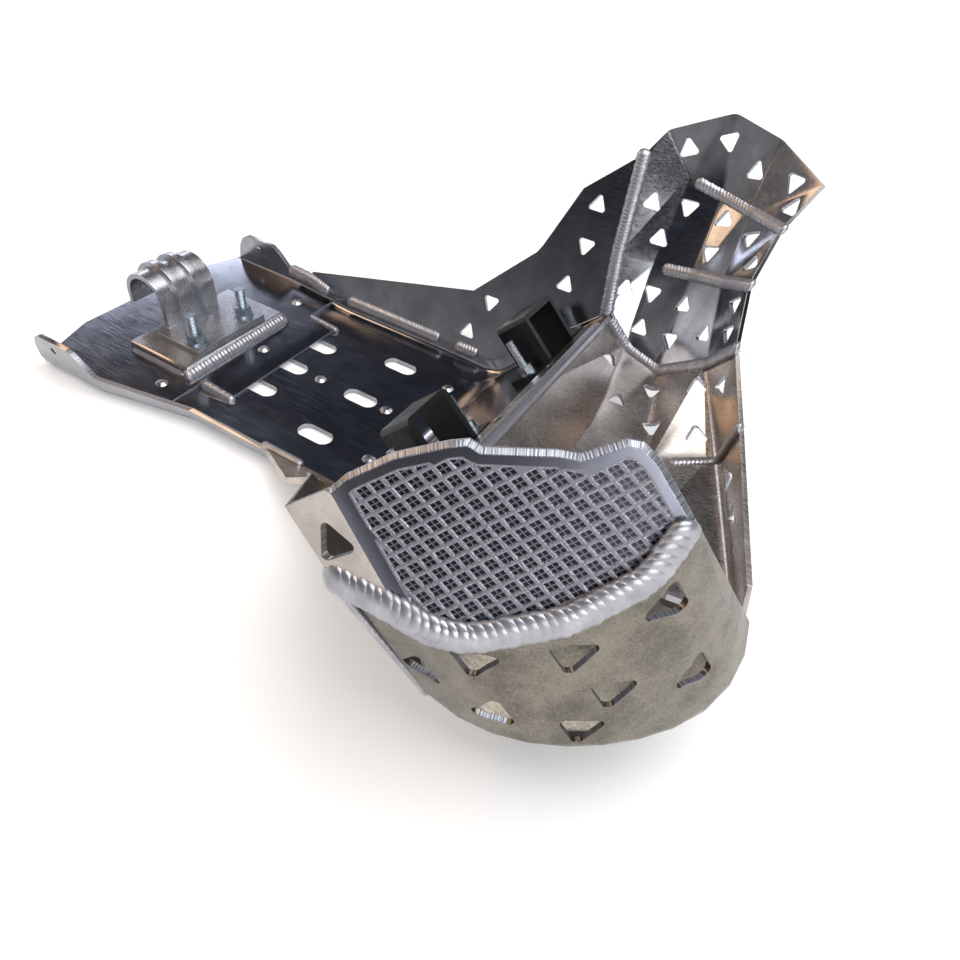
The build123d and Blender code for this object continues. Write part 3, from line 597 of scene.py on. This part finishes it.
@dataclass(frozen=True)
class StudioPaper:
    """Pale studio paper for the floor: matt, and white to the camera and to reflections.

    Close to the object the lift is small, so that its shadow stays.
    """

    name: str = "studio_paper"
    paper: str = "#f2f2f2"
    rough: float = 0.9
    near: float = 0.55
    far: float = 1.6
    near_glow: float = 0.25
    far_glow: float = 1.0

    def build(self) -> bpy.types.Material:
        """Builds the paper, with a lift for the camera, mirror and glass rays only.

        Returns:
            The material.
        """
        material, tree = new_tree(self.name)
        path = add_node(tree, "ShaderNodeLightPath")
        direct = add_node(tree, "ShaderNodeMath", {"operation": "MAXIMUM"},
                          {0: path.outputs["Is Camera Ray"], 1: path.outputs["Is Glossy Ray"]})
        seen = add_node(tree, "ShaderNodeMath", {"operation": "MAXIMUM"},
                        {0: direct.outputs[0], 1: path.outputs["Is Transmission Ray"]})
        where = add_node(tree, "ShaderNodeTexCoord").outputs["Object"]
        away = add_node(tree, "ShaderNodeVectorMath", {"operation": "LENGTH"}, {0: where})
        glow = add_node(tree, "ShaderNodeMapRange", {"interpolation_type": "SMOOTHSTEP"},
                        {"Value": away.outputs["Value"], "From Min": self.near,
                         "From Max": self.far, "To Min": self.near_glow, "To Max": self.far_glow})
        lift = add_node(tree, "ShaderNodeMath", {"operation": "MULTIPLY"},
                        {0: seen.outputs[0], 1: glow.outputs[0]})
        finish_surface(tree, {"Base Color": linear(self.paper), "Roughness": self.rough,
                              "Emission Color": (1.0, 1.0, 1.0, 1.0),
                              "Emission Strength": lift.outputs[0]})
        return material


@dataclass(frozen=True)
class FinishRack:
    """Every finish of the object, built once."""

    sheet: MillAluminium = MillAluminium(
        "mill_finish_aluminium", "#c4bcb6", "#aba49e", rough_low=0.24, rough_high=0.34,
        grit_lift_mm=0.012, speckle=0.1)
    floor: MillAluminium = MillAluminium(
        "rubbed_mill_aluminium", "#a6a7ad", "#8e8f95", rough_low=0.13, rough_high=0.22)
    # The right shell's sheet: the same aluminium, with its dull and bright colours made darker than
    # the sheet's as painted shade.
    skin: MillAluminium = MillAluminium(
        "shaded_mill_aluminium", "#8d877c", "#5c574f", rough_low=0.26, rough_high=0.40,
        cloud_mm=30.0, streak_mm=1.4, stretch=(1.0, 0.3, 1.0), grit_mm=1.2, grit_lift_mm=0.06,
        speckle=0.4)
    # Satin aluminium for the rear pad and saddle, with colours made brighter than the sheet's as
    # painted light.
    worked: MillAluminium = MillAluminium(
        "lit_satin_aluminium", "#d2d2d5", "#b9b9bd", rough_low=0.24, rough_high=0.36,
        cloud_mm=22.0, streak_mm=1.2, stretch=(1.0, 1.0, 0.2), grit_mm=1.4, grit_lift_mm=0.005,
        speckle=0.1)
    cut: CutWall = CutWall()
    weld: WeldMetal = WeldMetal()
    etched: EtchedFace = EtchedFace()
    polished: PolishedCells = PolishedCells()
    paint: SatinPaint = SatinPaint()
    zinc: PlatedSteel = PlatedSteel("zinc_plated_steel")
    upright_stud: PlatedSteel = PlatedSteel("zinc_plated_m8_thread", thread_mm=1.25)
    leaning_stud: PlatedSteel = PlatedSteel("zinc_plated_m6_thread", thread_mm=1.0, lean_deg=45.0)
    rivet: PlatedSteel = PlatedSteel("bright_aluminium_rivet", "#e4e4e6", "#bdbdc2")

    def build(self) -> dict[Finish, bpy.types.Material]:
        """Builds the materials.

        Returns:
            Each material under its finish.
        """
        return {Finish(name): getattr(self, name).build() for name in self.__dataclass_fields__}


def add_piece(
    name: str, mesh: bmesh.types.BMesh, materials: list[bpy.types.Material]
) -> bpy.types.Object:
    """Turns a finished bmesh into an object at the origin.

    Args:
        name: The piece's name.
        mesh: The bmesh, which is freed.
        materials: Its material slots in order.

    Returns:
        The new object, linked to the scene.
    """
    data = bpy.data.meshes.new(name)
    mesh.to_mesh(data)
    mesh.free()
    for material in materials:
        data.materials.append(material)
    piece = bpy.data.objects.new(name, data)
    bpy.context.scene.collection.objects.link(piece)
    return piece


@dataclass
class SheetPiece:
    """A folded sheet, redrawn from its solid with eased edges and bright cut walls.

    A face counts as a cut wall if it is no wider than wall_mm, by its area and rim, and if most of
    its rim is crisp.
    """

    node: str
    wall_mm: float
    finish: Finish
    ease_mm: float = 0.3
    ease_steps: int = 2
    merge_mm: float = 0.12
    sharp_deg: float = 50.0
    fold_deg: float = 32.0
    flat_deg: float = 0.6
    wall_slack: float = 1.05
    crisp_share: float = 0.55

    def build(self, frame: dict, rack: dict[Finish, bpy.types.Material]) -> bpy.types.Object:
        """Copies the solid's mesh, eases its edges and dresses it.

        Args:
            rack: The built materials.

        Returns:
            The dressed sheet, which stands for its node.
        """
        mesh = bmesh.new()
        mesh.from_mesh(frame["nodes"][self.node].data)
        bmesh.ops.remove_doubles(mesh, verts=mesh.verts, dist=self.merge_mm * MM)
        bmesh.ops.dissolve_limit(mesh, angle_limit=math.radians(self.flat_deg), verts=mesh.verts,
                                 edges=mesh.edges)
        self.mark_cut_walls(mesh)
        sharp = [e for e in mesh.edges if self.is_sharp(e)]
        bmesh.ops.bevel(mesh, geom=sharp, offset=self.ease_mm * MM, offset_type="OFFSET",
                        affect="EDGES", segments=self.ease_steps, profile=0.5, material=-1,
                        clamp_overlap=False)
        piece = add_piece(f"{self.node}_sheet", mesh, [rack[self.finish], rack[Finish.CUT]])
        piece.data.shade_smooth()
        piece.data.set_sharp_from_angle(angle=math.radians(self.fold_deg))
        evened = piece.modifiers.new("flat_faces_lead", "WEIGHTED_NORMAL")
        evened.keep_sharp = True
        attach(piece, ROOT)
        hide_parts(self.node)
        return piece

    def is_sharp(self, edge: bmesh.types.BMEdge) -> bool:
        """True where two faces meet at a cut edge rather than along a fold."""
        limit = math.radians(self.sharp_deg)
        return len(edge.link_faces) == 2 and edge.calc_face_angle(0.0) > limit

    def mark_cut_walls(self, mesh: bmesh.types.BMesh) -> None:
        """Gives the walls of every cut their material and a UV that runs along the cut.

        Args:
            mesh: The sheet's bmesh, with flat faces joined.
        """
        layer = mesh.loops.layers.uv.new(CutWall.uv_map)
        widest = self.wall_slack * self.wall_mm * MM
        for face in mesh.faces:
            rim = sum(e.calc_length() for e in face.edges)
            crisp = sum(e.calc_length() for e in face.edges if self.is_sharp(e))
            if 2 * face.calc_area() / rim > widest or crisp < self.crisp_share * rim:
                continue
            face.material_index = FaceSlot.CUT
            longest = max(face.edges, key=lambda e: e.calc_length())
            along = (longest.verts[1].co - longest.verts[0].co).normalized()
            for loop in face.loops:
                loop[layer].uv = (loop.vert.co.dot(along), 0.0)


@dataclass
class EtchedPanel(SheetPiece):
    """The guard's outer panel: frosted lattice lines round polished diamonds."""

    sharp_deg: float = 40.0
    pocket_mm: float = 0.6
    reach_mm: float = 1.6
    facing: float = 0.99

    def build(self, frame: dict, rack: dict[Finish, bpy.types.Material]) -> bpy.types.Object:
        """Dresses the panel and parts its face from the diamonds sunk in it.

        Args:
            rack: The built materials.

        Returns:
            The dressed panel.
        """
        piece = super().build(frame, rack)
        data = piece.data
        for finish in (Finish.ETCHED, Finish.POLISHED):
            data.materials.append(rack[finish])
        outward = Drawing().panel_axes()[2]
        outer = [p for p in data.polygons if p.normal.dot(outward) > self.facing]
        top = max(p.center.dot(outward) for p in outer)
        pockets = KDTree(len(data.vertices))
        for face in outer:
            if top - face.center.dot(outward) < 0.5 * self.pocket_mm * MM:
                face.material_index = FaceSlot.ETCHED
                continue
            face.material_index = FaceSlot.POLISHED
            for index in face.vertices:
                pockets.insert(data.vertices[index].co, index)
        pockets.balance()
        etched = data.attributes.new(EtchedFace.mask, "FLOAT", "POINT")
        for vertex in data.vertices:
            away = pockets.find(vertex.co)[2]
            etched.data[vertex.index].value = float(away < self.reach_mm * MM)
        return piece


@dataclass(frozen=True)
class Seam:
    """One run of weld: its corner points, and the way its crown faces from start to end."""

    points: tuple[Vector, ...]
    crowns: tuple[Triple, ...]

    def steps(self, pitch: float, easing: int = 3) -> list[Vector]:
        """Spreads points along the run and eases its corners.

        Args:
            pitch: The distance between them.
            easing: How often each point is moved towards its neighbours.

        Returns:
            The points in order.
        """
        spots = [self.points[0]]
        for start, end in zip(self.points, self.points[1:]):
            count = max(1, round((end - start).length / pitch))
            spots += [start.lerp(end, k / count) for k in range(1, count + 1)]
        for _ in range(easing):
            middle = [(a + 2 * b + c) / 4 for a, b, c in zip(spots, spots[1:], spots[2:])]
            spots = [spots[0], *middle, spots[-1]]
        return spots


@dataclass(frozen=True)
class Puddle:
    """One puddle of a bead in mm: its half sizes, the step to the next, and how deep it sits."""

    across: float = 4.8
    along: float = 4.6
    high: float = 2.8
    pitch: float = 2.7
    sink: float = 1.0


class WeldPass(Enum):
    """The welder's passes, by the size of their puddles."""

    FILLET = Puddle()
    STITCH = Puddle(across=5.2, along=5.0, sink=0.2)
    FOOT = Puddle(across=5.4, along=5.0)
    TROUGH = Puddle(across=5.2, along=4.8)
    PAD_FRONT = Puddle(across=6.4, along=6.2, high=3.8, pitch=3.4)
    PAD_SIDE = Puddle(across=3.8, along=3.8, high=2.4, pitch=2.2)
    PANEL = Puddle(across=7.0, along=6.8, high=3.2, pitch=3.8, sink=1.6)
    RETURN = Puddle(across=2.6, along=2.4, high=1.6, pitch=1.8)


@dataclass
class WeldBead:
    """A bead laid as a row of flat round puddles, each leaning on the one before it."""

    node: str
    seams: tuple[Seam, ...]
    kind: WeldPass = WeldPass.FILLET
    lean_deg: float = 17.0
    sway: float = 0.04
    sway_step: float = 2.4
    round_sides: int = 18
    round_rings: int = 6

    def build(self, rack: dict[Finish, bpy.types.Material]) -> bpy.types.Object:
        """Lays every run of the bead.

        Args:
            rack: The built materials.

        Returns:
            The bead, which stands for its node.
        """
        mesh = bmesh.new()
        for seam in self.seams:
            for place in self.puddles(seam):
                bmesh.ops.create_uvsphere(mesh, u_segments=self.round_sides,
                                          v_segments=self.round_rings, radius=1.0, matrix=place)
        piece = add_piece(f"{self.node}_bead", mesh, [rack[Finish.WELD]])
        piece.data.shade_smooth()
        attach(piece, ROOT)
        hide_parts(self.node)
        return piece

    def puddles(self, seam: Seam) -> list[Matrix]:
        """Places the puddles of one run.

        Args:
            seam: The run.

        Returns:
            A matrix for each puddle, which turns a unit ball into it.
        """
        puddle = self.kind.value
        spots = seam.steps(puddle.pitch * MM)
        first, last = Vector(seam.crowns[0]), Vector(seam.crowns[-1])
        made = []
        for k, spot in enumerate(spots):
            ahead = (spots[min(k + 1, len(spots) - 1)] - spots[max(k - 1, 0)]).normalized()
            crown = first.lerp(last, k / max(1, len(spots) - 1))
            crown = (crown - ahead * crown.dot(ahead)).normalized()
            side = ahead.cross(crown)
            tilt = Quaternion(side, math.radians(self.lean_deg))
            turn = Matrix((side, tilt @ ahead, tilt @ crown)).transposed()
            swell = 1.0 + self.sway * math.sin(self.sway_step * k)
            size = Matrix.Diagonal((puddle.across * swell, puddle.along * swell, puddle.high)) * MM
            centre = spot - crown * puddle.sink * MM
            made.append(Matrix.Translation(centre) @ (turn @ size).to_4x4())
        return made


@dataclass
class Hardware:
    """Small hardware that keeps its CAD mesh and gets a better finish."""

    finish: Finish
    nodes: tuple[str, ...]

    def dress(self, frame: dict, rack: dict[Finish, bpy.types.Material]) -> None:
        """Puts the finish on each node.

        Args:
            rack: The built materials.
        """
        for node in self.nodes:
            slots = frame["nodes"][node].data.materials
            slots.clear()
            slots.append(rack[self.finish])
            LOG.info("%s dressed as %s", node, self.finish.value)


@dataclass
class Assembly:
    """A sub-assembly: its sheets, the beads that join them and the small hardware on it."""

    sheets: tuple[SheetPiece, ...] = ()
    hardware: tuple[Hardware, ...] = ()
    drawing: Drawing = Drawing()

    def beads(self) -> list[WeldBead]:
        """The beads that are laid again, none unless a sub-assembly says so."""
        return []

    def build(self, frame: dict, rack: dict[Finish, bpy.types.Material]) -> None:
        """Builds every piece in order.

        Args:
            rack: The built materials.
        """
        for sheet in self.sheets:
            piece = sheet.build(frame, rack)
            LOG.info("%s built with %d faces", piece.name, len(piece.data.polygons))
        for bead in self.beads():
            piece = bead.build(rack)
            LOG.info("%s laid with %d faces", piece.name, len(piece.data.polygons))
        for group in self.hardware:
            group.dress(frame, rack)


@dataclass
class FloorTray(Assembly):
    """The folded base plate, with the cross bar along the top of its incline."""

    sheets: tuple[SheetPiece, ...] = (
        SheetPiece("base_plate", 4.0, Finish.FLOOR),
        SheetPiece("cross_bar", 4.0, Finish.SHEET),
    )
    hardware: tuple[Hardware, ...] = (
        Hardware(Finish.RIVET, ("floor_rivets",)),
        Hardware(Finish.WELD, ("bar_welds", "ridge_weld")),
    )


@dataclass
class RearMount(Assembly):
    """The doubler on the rear floor, the pad welded on it and the saddle for the cross tube."""

    sheets: tuple[SheetPiece, ...] = (
        SheetPiece("rear_plate", 6.0, Finish.FLOOR),
        SheetPiece("rear_pad", 8.0, Finish.WORKED),
        SheetPiece("rear_saddle", 4.0, Finish.WORKED),
    )
    hardware: tuple[Hardware, ...] = (
        Hardware(Finish.ZINC, ("rear_washers", "rear_nuts")),
        Hardware(Finish.UPRIGHT_STUD, ("rear_bolts",)),
    )
    pad_front: tuple[Triple, ...] = ((41, 188, 9.5), (-61, 188, 9.5))
    pad_right: tuple[Triple, ...] = ((-63, 198, 8), (-63, 248, 8))
    pad_left: tuple[Triple, ...] = ((43, 198, 8), (43, 248, 8))
    pad_rear: tuple[Triple, ...] = ((-58, 253, 8), (38, 253, 8))
    tongue_right: tuple[Triple, ...] = ((-63, 148, 5), (-63, 171, 7))
    tongue_left: tuple[Triple, ...] = ((63, 148, 5), (63, 171, 7))

    def beads(self) -> list[WeldBead]:
        """Lays out the beads round the rear pad and beside the rear plate's tongue.

        Returns:
            The beads.
        """
        run, right, left = self.drawing.run, ((-1, 0, 1),), ((1, 0, 1),)
        front = (Seam(run(self.pad_front), ((0, -1, 1),)),)
        rest = (Seam(run(self.pad_right), right), Seam(run(self.pad_left), left),
                Seam(run(self.pad_rear), ((0, 1, 1),)))
        tongue = (Seam(run(self.tongue_right), right), Seam(run(self.tongue_left), left))
        return [WeldBead("pad_front_weld", front, WeldPass.PAD_FRONT),
                WeldBead("pad_side_welds", rest, WeldPass.PAD_SIDE),
                WeldBead("tongue_welds", tongue)]


@dataclass
class FrameClamps(Assembly):
    """The two black clamps over the frame tubes, and their bolts."""

    hardware: tuple[Hardware, ...] = (
        Hardware(Finish.PAINT, ("left_frame_clamp", "right_frame_clamp")),
        Hardware(Finish.ZINC, ("clamp_washers", "clamp_nuts")),
        Hardware(Finish.LEANING_STUD, ("clamp_bolts",)),
    )


@dataclass
class LeftWing(Assembly):
    """The flat left wing, stitched along the base plate's side.

    Its runs are (y, up the wing's slope).
    """

    sheets: tuple[SheetPiece, ...] = (SheetPiece("left_wing", 3.0, Finish.FLOOR),)
    inward: Triple = (-0.75, 0.0, 0.66)
    stitch_runs: tuple[tuple[Pair, ...], ...] = (
        ((154, 13.6), (64, 13.6)),
        ((40, 13.6), (26, 13.6)),
    )
    ear_run: tuple[Pair, ...] = ((224, 19.6), (201, 18.6), (184, 14.6))

    def beads(self) -> list[WeldBead]:
        """Lays out the beads along the wing's foot.

        Returns:
            The beads.
        """
        up_wing, crowns = self.drawing.run_on_wing, (self.inward,)
        stitches = tuple(Seam(up_wing(spots), crowns) for spots in self.stitch_runs)
        ear = (Seam(up_wing(self.ear_run), crowns),)
        return [WeldBead("left_wing_stitches", stitches, WeldPass.STITCH),
                WeldBead("ear_weld", ear, WeldPass.STITCH)]


@dataclass
class PipeGuard(Assembly):
    """The darted left shell and the trough that run under the exhaust pipe.

    A pair of crowns holds at the start and the end of a run.
    """

    sheets: tuple[SheetPiece, ...] = (
        SheetPiece("left_guard_shell", 3.0, Finish.FLOOR),
        SheetPiece("centre_trough", 3.0, Finish.SHEET),
    )
    hardware: tuple[Hardware, ...] = (Hardware(Finish.WELD, ("trough_right_weld",)),)
    foot_run: tuple[Pair, ...] = ((-53, 193), (-61, 123), (-69, 82))
    foot_crown: Triple = (-0.87, -0.15, 0.48)
    upper_dart: tuple[Triple, ...] = ((186, -96, 163), (185, -114, 160), (172, -138, 160),
                                      (148, -164, 164))
    upper_crowns: tuple[Triple, ...] = ((-0.9, 0.1, 0.42), (-0.48, 0.55, 0.69))
    lower_dart: tuple[Triple, ...] = ((151, -98, 111), (148, -118, 115), (132, -142, 125),
                                      (108, -162, 140))
    lower_crowns: tuple[Triple, ...] = ((-0.86, 0.1, 0.5), (-0.4, 0.6, 0.7))
    trough_top: Pair = (-69, 80)
    trough_run: tuple[Triple, ...] = ((124, -91, 53), (115, -121, 50), (95, -155, 83),
                                      (78, -171, 111))
    trough_crowns: tuple[Triple, ...] = ((-0.7, 0.2, 0.6), (-0.4, 0.75, 0.5))
    centre_run: tuple[Triple, ...] = ((27, -167, 48), (38, -191, 54), (26, -195, 92))
    centre_crowns: tuple[Triple, ...] = ((0, 0.4, 0.9), (0, 1, 0.1))

    def beads(self) -> list[WeldBead]:
        """Lays out the beads at the guard's foot, in its darts and across the trough.

        Returns:
            The beads.
        """
        run, on_wing = self.drawing.run, self.drawing.on_wing
        foot = Seam(self.drawing.run_on_wing(self.foot_run), (self.foot_crown,))
        darts = (Seam(run(self.upper_dart), self.upper_crowns),
                 Seam(run(self.lower_dart), self.lower_crowns))
        left = Seam((on_wing(*self.trough_top), *run(self.trough_run)), self.trough_crowns)
        centre = Seam(run(self.centre_run), self.centre_crowns)
        return [WeldBead("guard_foot_weld", (foot,), WeldPass.FOOT),
                WeldBead("guard_dart_welds", darts),
                WeldBead("trough_left_weld", (left,), WeldPass.TROUGH),
                WeldBead("trough_centre_weld", (centre,))]


@dataclass
class RightGuard(Assembly):
    """The rolled right shell under the engraved panel, and the sheets that close it behind.

    The panel's run is (forward, up its face).
    """

    sheets: tuple[SheetPiece, ...] = (
        SheetPiece("right_guard_shell", 4.0, Finish.SKIN),
        SheetPiece("right_return_panel", 4.0, Finish.SKIN),
        SheetPiece("right_wing", 4.0, Finish.SHEET),
        EtchedPanel("right_guard_panel", 4.0, Finish.SHEET),
    )
    hardware: tuple[Hardware, ...] = (Hardware(Finish.WELD, ("right_wing_stitches",)),)
    panel_start: Triple = (-221.3, -93, 133.7)
    panel_run: tuple[Pair, ...] = ((-35, -36), (-23, -41), (-8, -41), (27, -26), (52, -4), (59, 14))
    panel_crowns: tuple[Triple, ...] = ((-0.9, -0.1, 0.3), (-0.6, -0.75, 0.35))
    return_foot: tuple[Triple, ...] = ((-128, 8, 56), (-150, -70, 48))
    foot_crown: Triple = (-0.7, 0.4, -0.5)
    return_side: tuple[Triple, ...] = ((-221, -90, 130), (-202, -124, 50))
    side_crown: Triple = (-0.85, 0.4, 0.0)

    def beads(self) -> list[WeldBead]:
        """Lays out the big bead under the panel and the small ones behind it.

        Returns:
            The beads.
        """
        run, on_panel = self.drawing.run, self.drawing.on_panel
        panel = Seam((self.drawing.place(*self.panel_start),
                      *(on_panel(*spot) for spot in self.panel_run)), self.panel_crowns)
        back = (Seam(run(self.return_foot), (self.foot_crown,)),
                Seam(run(self.return_side), (self.side_crown,)))
        return [WeldBead("panel_weld", (panel,), WeldPass.PANEL),
                WeldBead("return_welds", back, WeldPass.RETURN)]


@dataclass(frozen=True)
class SoftBox:
    """One soft studio lamp, aimed at the object."""

    name: str
    place: Triple
    size: Pair
    watts: float
    tint: str = "#ffffff"

    def build(self, target: Vector) -> None:
        """Hangs the lamp.

        Args:
            target: The point it is turned to.
        """
        lamp = bpy.data.lights.new(self.name, "AREA")
        lamp.shape = "RECTANGLE"
        lamp.size, lamp.size_y = self.size
        lamp.energy = self.watts
        lamp.color = linear(self.tint)[:3]
        stand = bpy.data.objects.new(self.name, lamp)
        stand.location = self.place
        stand.rotation_euler = (target - Vector(self.place)).to_track_quat("-Z", "Y").to_euler()
        bpy.context.scene.collection.objects.link(stand)


@dataclass
class Studio:
    """A pale floor, soft lamps and a plain room that is darker overhead.

    Heights in the room are sines of the angle above the floor.
    """

    floor_size: float = 60.0
    floor_gap_mm: float = 0.2
    lamps: tuple[SoftBox, ...] = (
        SoftBox("top_box", (0.1, -0.5, 1.7), (1.6, 1.6), 30.0),
        SoftBox("rear_card", (-0.1, 1.0, 1.15), (1.0, 0.5), 5.0, "#ffd8b0"),
        SoftBox("far_strip", (0.85, 1.35, 0.62), (1.0, 0.22), 3.0, "#e4ebff"),
        SoftBox("front_strip", (-1.2, -1.4, 0.9), (1.2, 0.6), 12.0),
    )
    skirting: str = "#ffffff"
    horizon: str = "#b9b7b6"
    overhead: str = "#31353f"
    skirting_top: float = 0.1
    ceiling_from: float = 0.58

    def build(self) -> None:
        """Builds the room round the object."""
        low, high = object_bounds()
        target = (Vector(low) + Vector(high)) / 2
        for lamp in self.lamps:
            lamp.build(target)
        self.lay_floor(min(0.0, low[2]))
        self.paint_room()

    def lay_floor(self, level: float) -> None:
        """Lays the paper under the object.

        Args:
            level: The object's lowest point.
        """
        mesh = bmesh.new()
        bmesh.ops.create_grid(mesh, x_segments=1, y_segments=1, size=self.floor_size / 2)
        bmesh.ops.translate(mesh, verts=mesh.verts, vec=(0.0, 0.0, level - self.floor_gap_mm * MM))
        floor = add_piece("studio_floor", mesh, [StudioPaper().build()])
        floor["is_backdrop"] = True

    def paint_room(self) -> None:
        """Shades the world from the white of the paper to a pale horizon and a darker ceiling."""
        world = bpy.data.worlds.new("studio_room")
        bpy.context.scene.world = world
        world.use_nodes = True
        tree = world.node_tree
        tree.nodes.clear()
        where = add_node(tree, "ShaderNodeTexCoord").outputs["Generated"]
        height = add_node(tree, "ShaderNodeSeparateXYZ", None, {0: where}).outputs["Z"]
        low = add_node(tree, "ShaderNodeMapRange", {"interpolation_type": "SMOOTHSTEP"},
                       {"Value": height, "From Min": 0.0, "From Max": self.skirting_top})
        wall = add_node(tree, "ShaderNodeMix", {"data_type": "RGBA"},
                        {"Factor": low.outputs[0], 6: linear(self.skirting),
                         7: linear(self.horizon)})
        share = add_node(tree, "ShaderNodeMapRange", {"interpolation_type": "SMOOTHSTEP"},
                         {"Value": height, "From Min": self.skirting_top,
                          "From Max": self.ceiling_from})
        colour = add_node(tree, "ShaderNodeMix", {"data_type": "RGBA"},
                          {"Factor": share.outputs[0], 6: wall.outputs[2],
                           7: linear(self.overhead)})
        room = add_node(tree, "ShaderNodeBackground", None,
                        {"Color": colour.outputs[2], "Strength": 1.0})
        add_node(tree, "ShaderNodeOutputWorld", None, {"Surface": room.outputs[0]})


@dataclass(frozen=True)
class PhotoCamera:
    """The camera at the photograph's angle, over the guard's near corner."""

    eye_mm: Triple = (-341.2, -309.0, 350.6)
    right: Triple = (0.514, -0.8535, 0.0852)
    up: Triple = (0.5695, 0.4139, 0.7102)
    lens_mm: float = 26.25
    sensor_mm: float = 36.0
    clip_start: float = 0.01

    def build(self) -> None:
        """Sets up the scene's camera."""
        data = bpy.data.cameras.new("photo_camera")
        data.lens = self.lens_mm
        data.sensor_width = self.sensor_mm
        data.clip_start = self.clip_start
        camera = bpy.data.objects.new("photo_camera", data)
        across = Vector(self.right).normalized()
        back = across.cross(Vector(self.up)).normalized()
        turn = Matrix((across, back.cross(across), back)).transposed()
        camera.matrix_world = Matrix.Translation(Vector(self.eye_mm) * MM) @ turn.to_4x4()
        bpy.context.scene.collection.objects.link(camera)
        bpy.context.scene.camera = camera


def main() -> None:
    """Builds the dressed skid plate, its studio and its camera."""
    logging.basicConfig(level=logging.INFO, format="%(name)s: %(message)s")
    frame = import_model()
    rack = FinishRack().build()
    for group in (FloorTray(), RearMount(), FrameClamps(), LeftWing(), PipeGuard(), RightGuard()):
        group.build(frame, rack)
    Studio().build()
    PhotoCamera().build()
    bpy.context.scene.view_settings.view_transform = "Standard"
    bpy.context.view_layer.update()


if __name__ == "__main__":
    main()
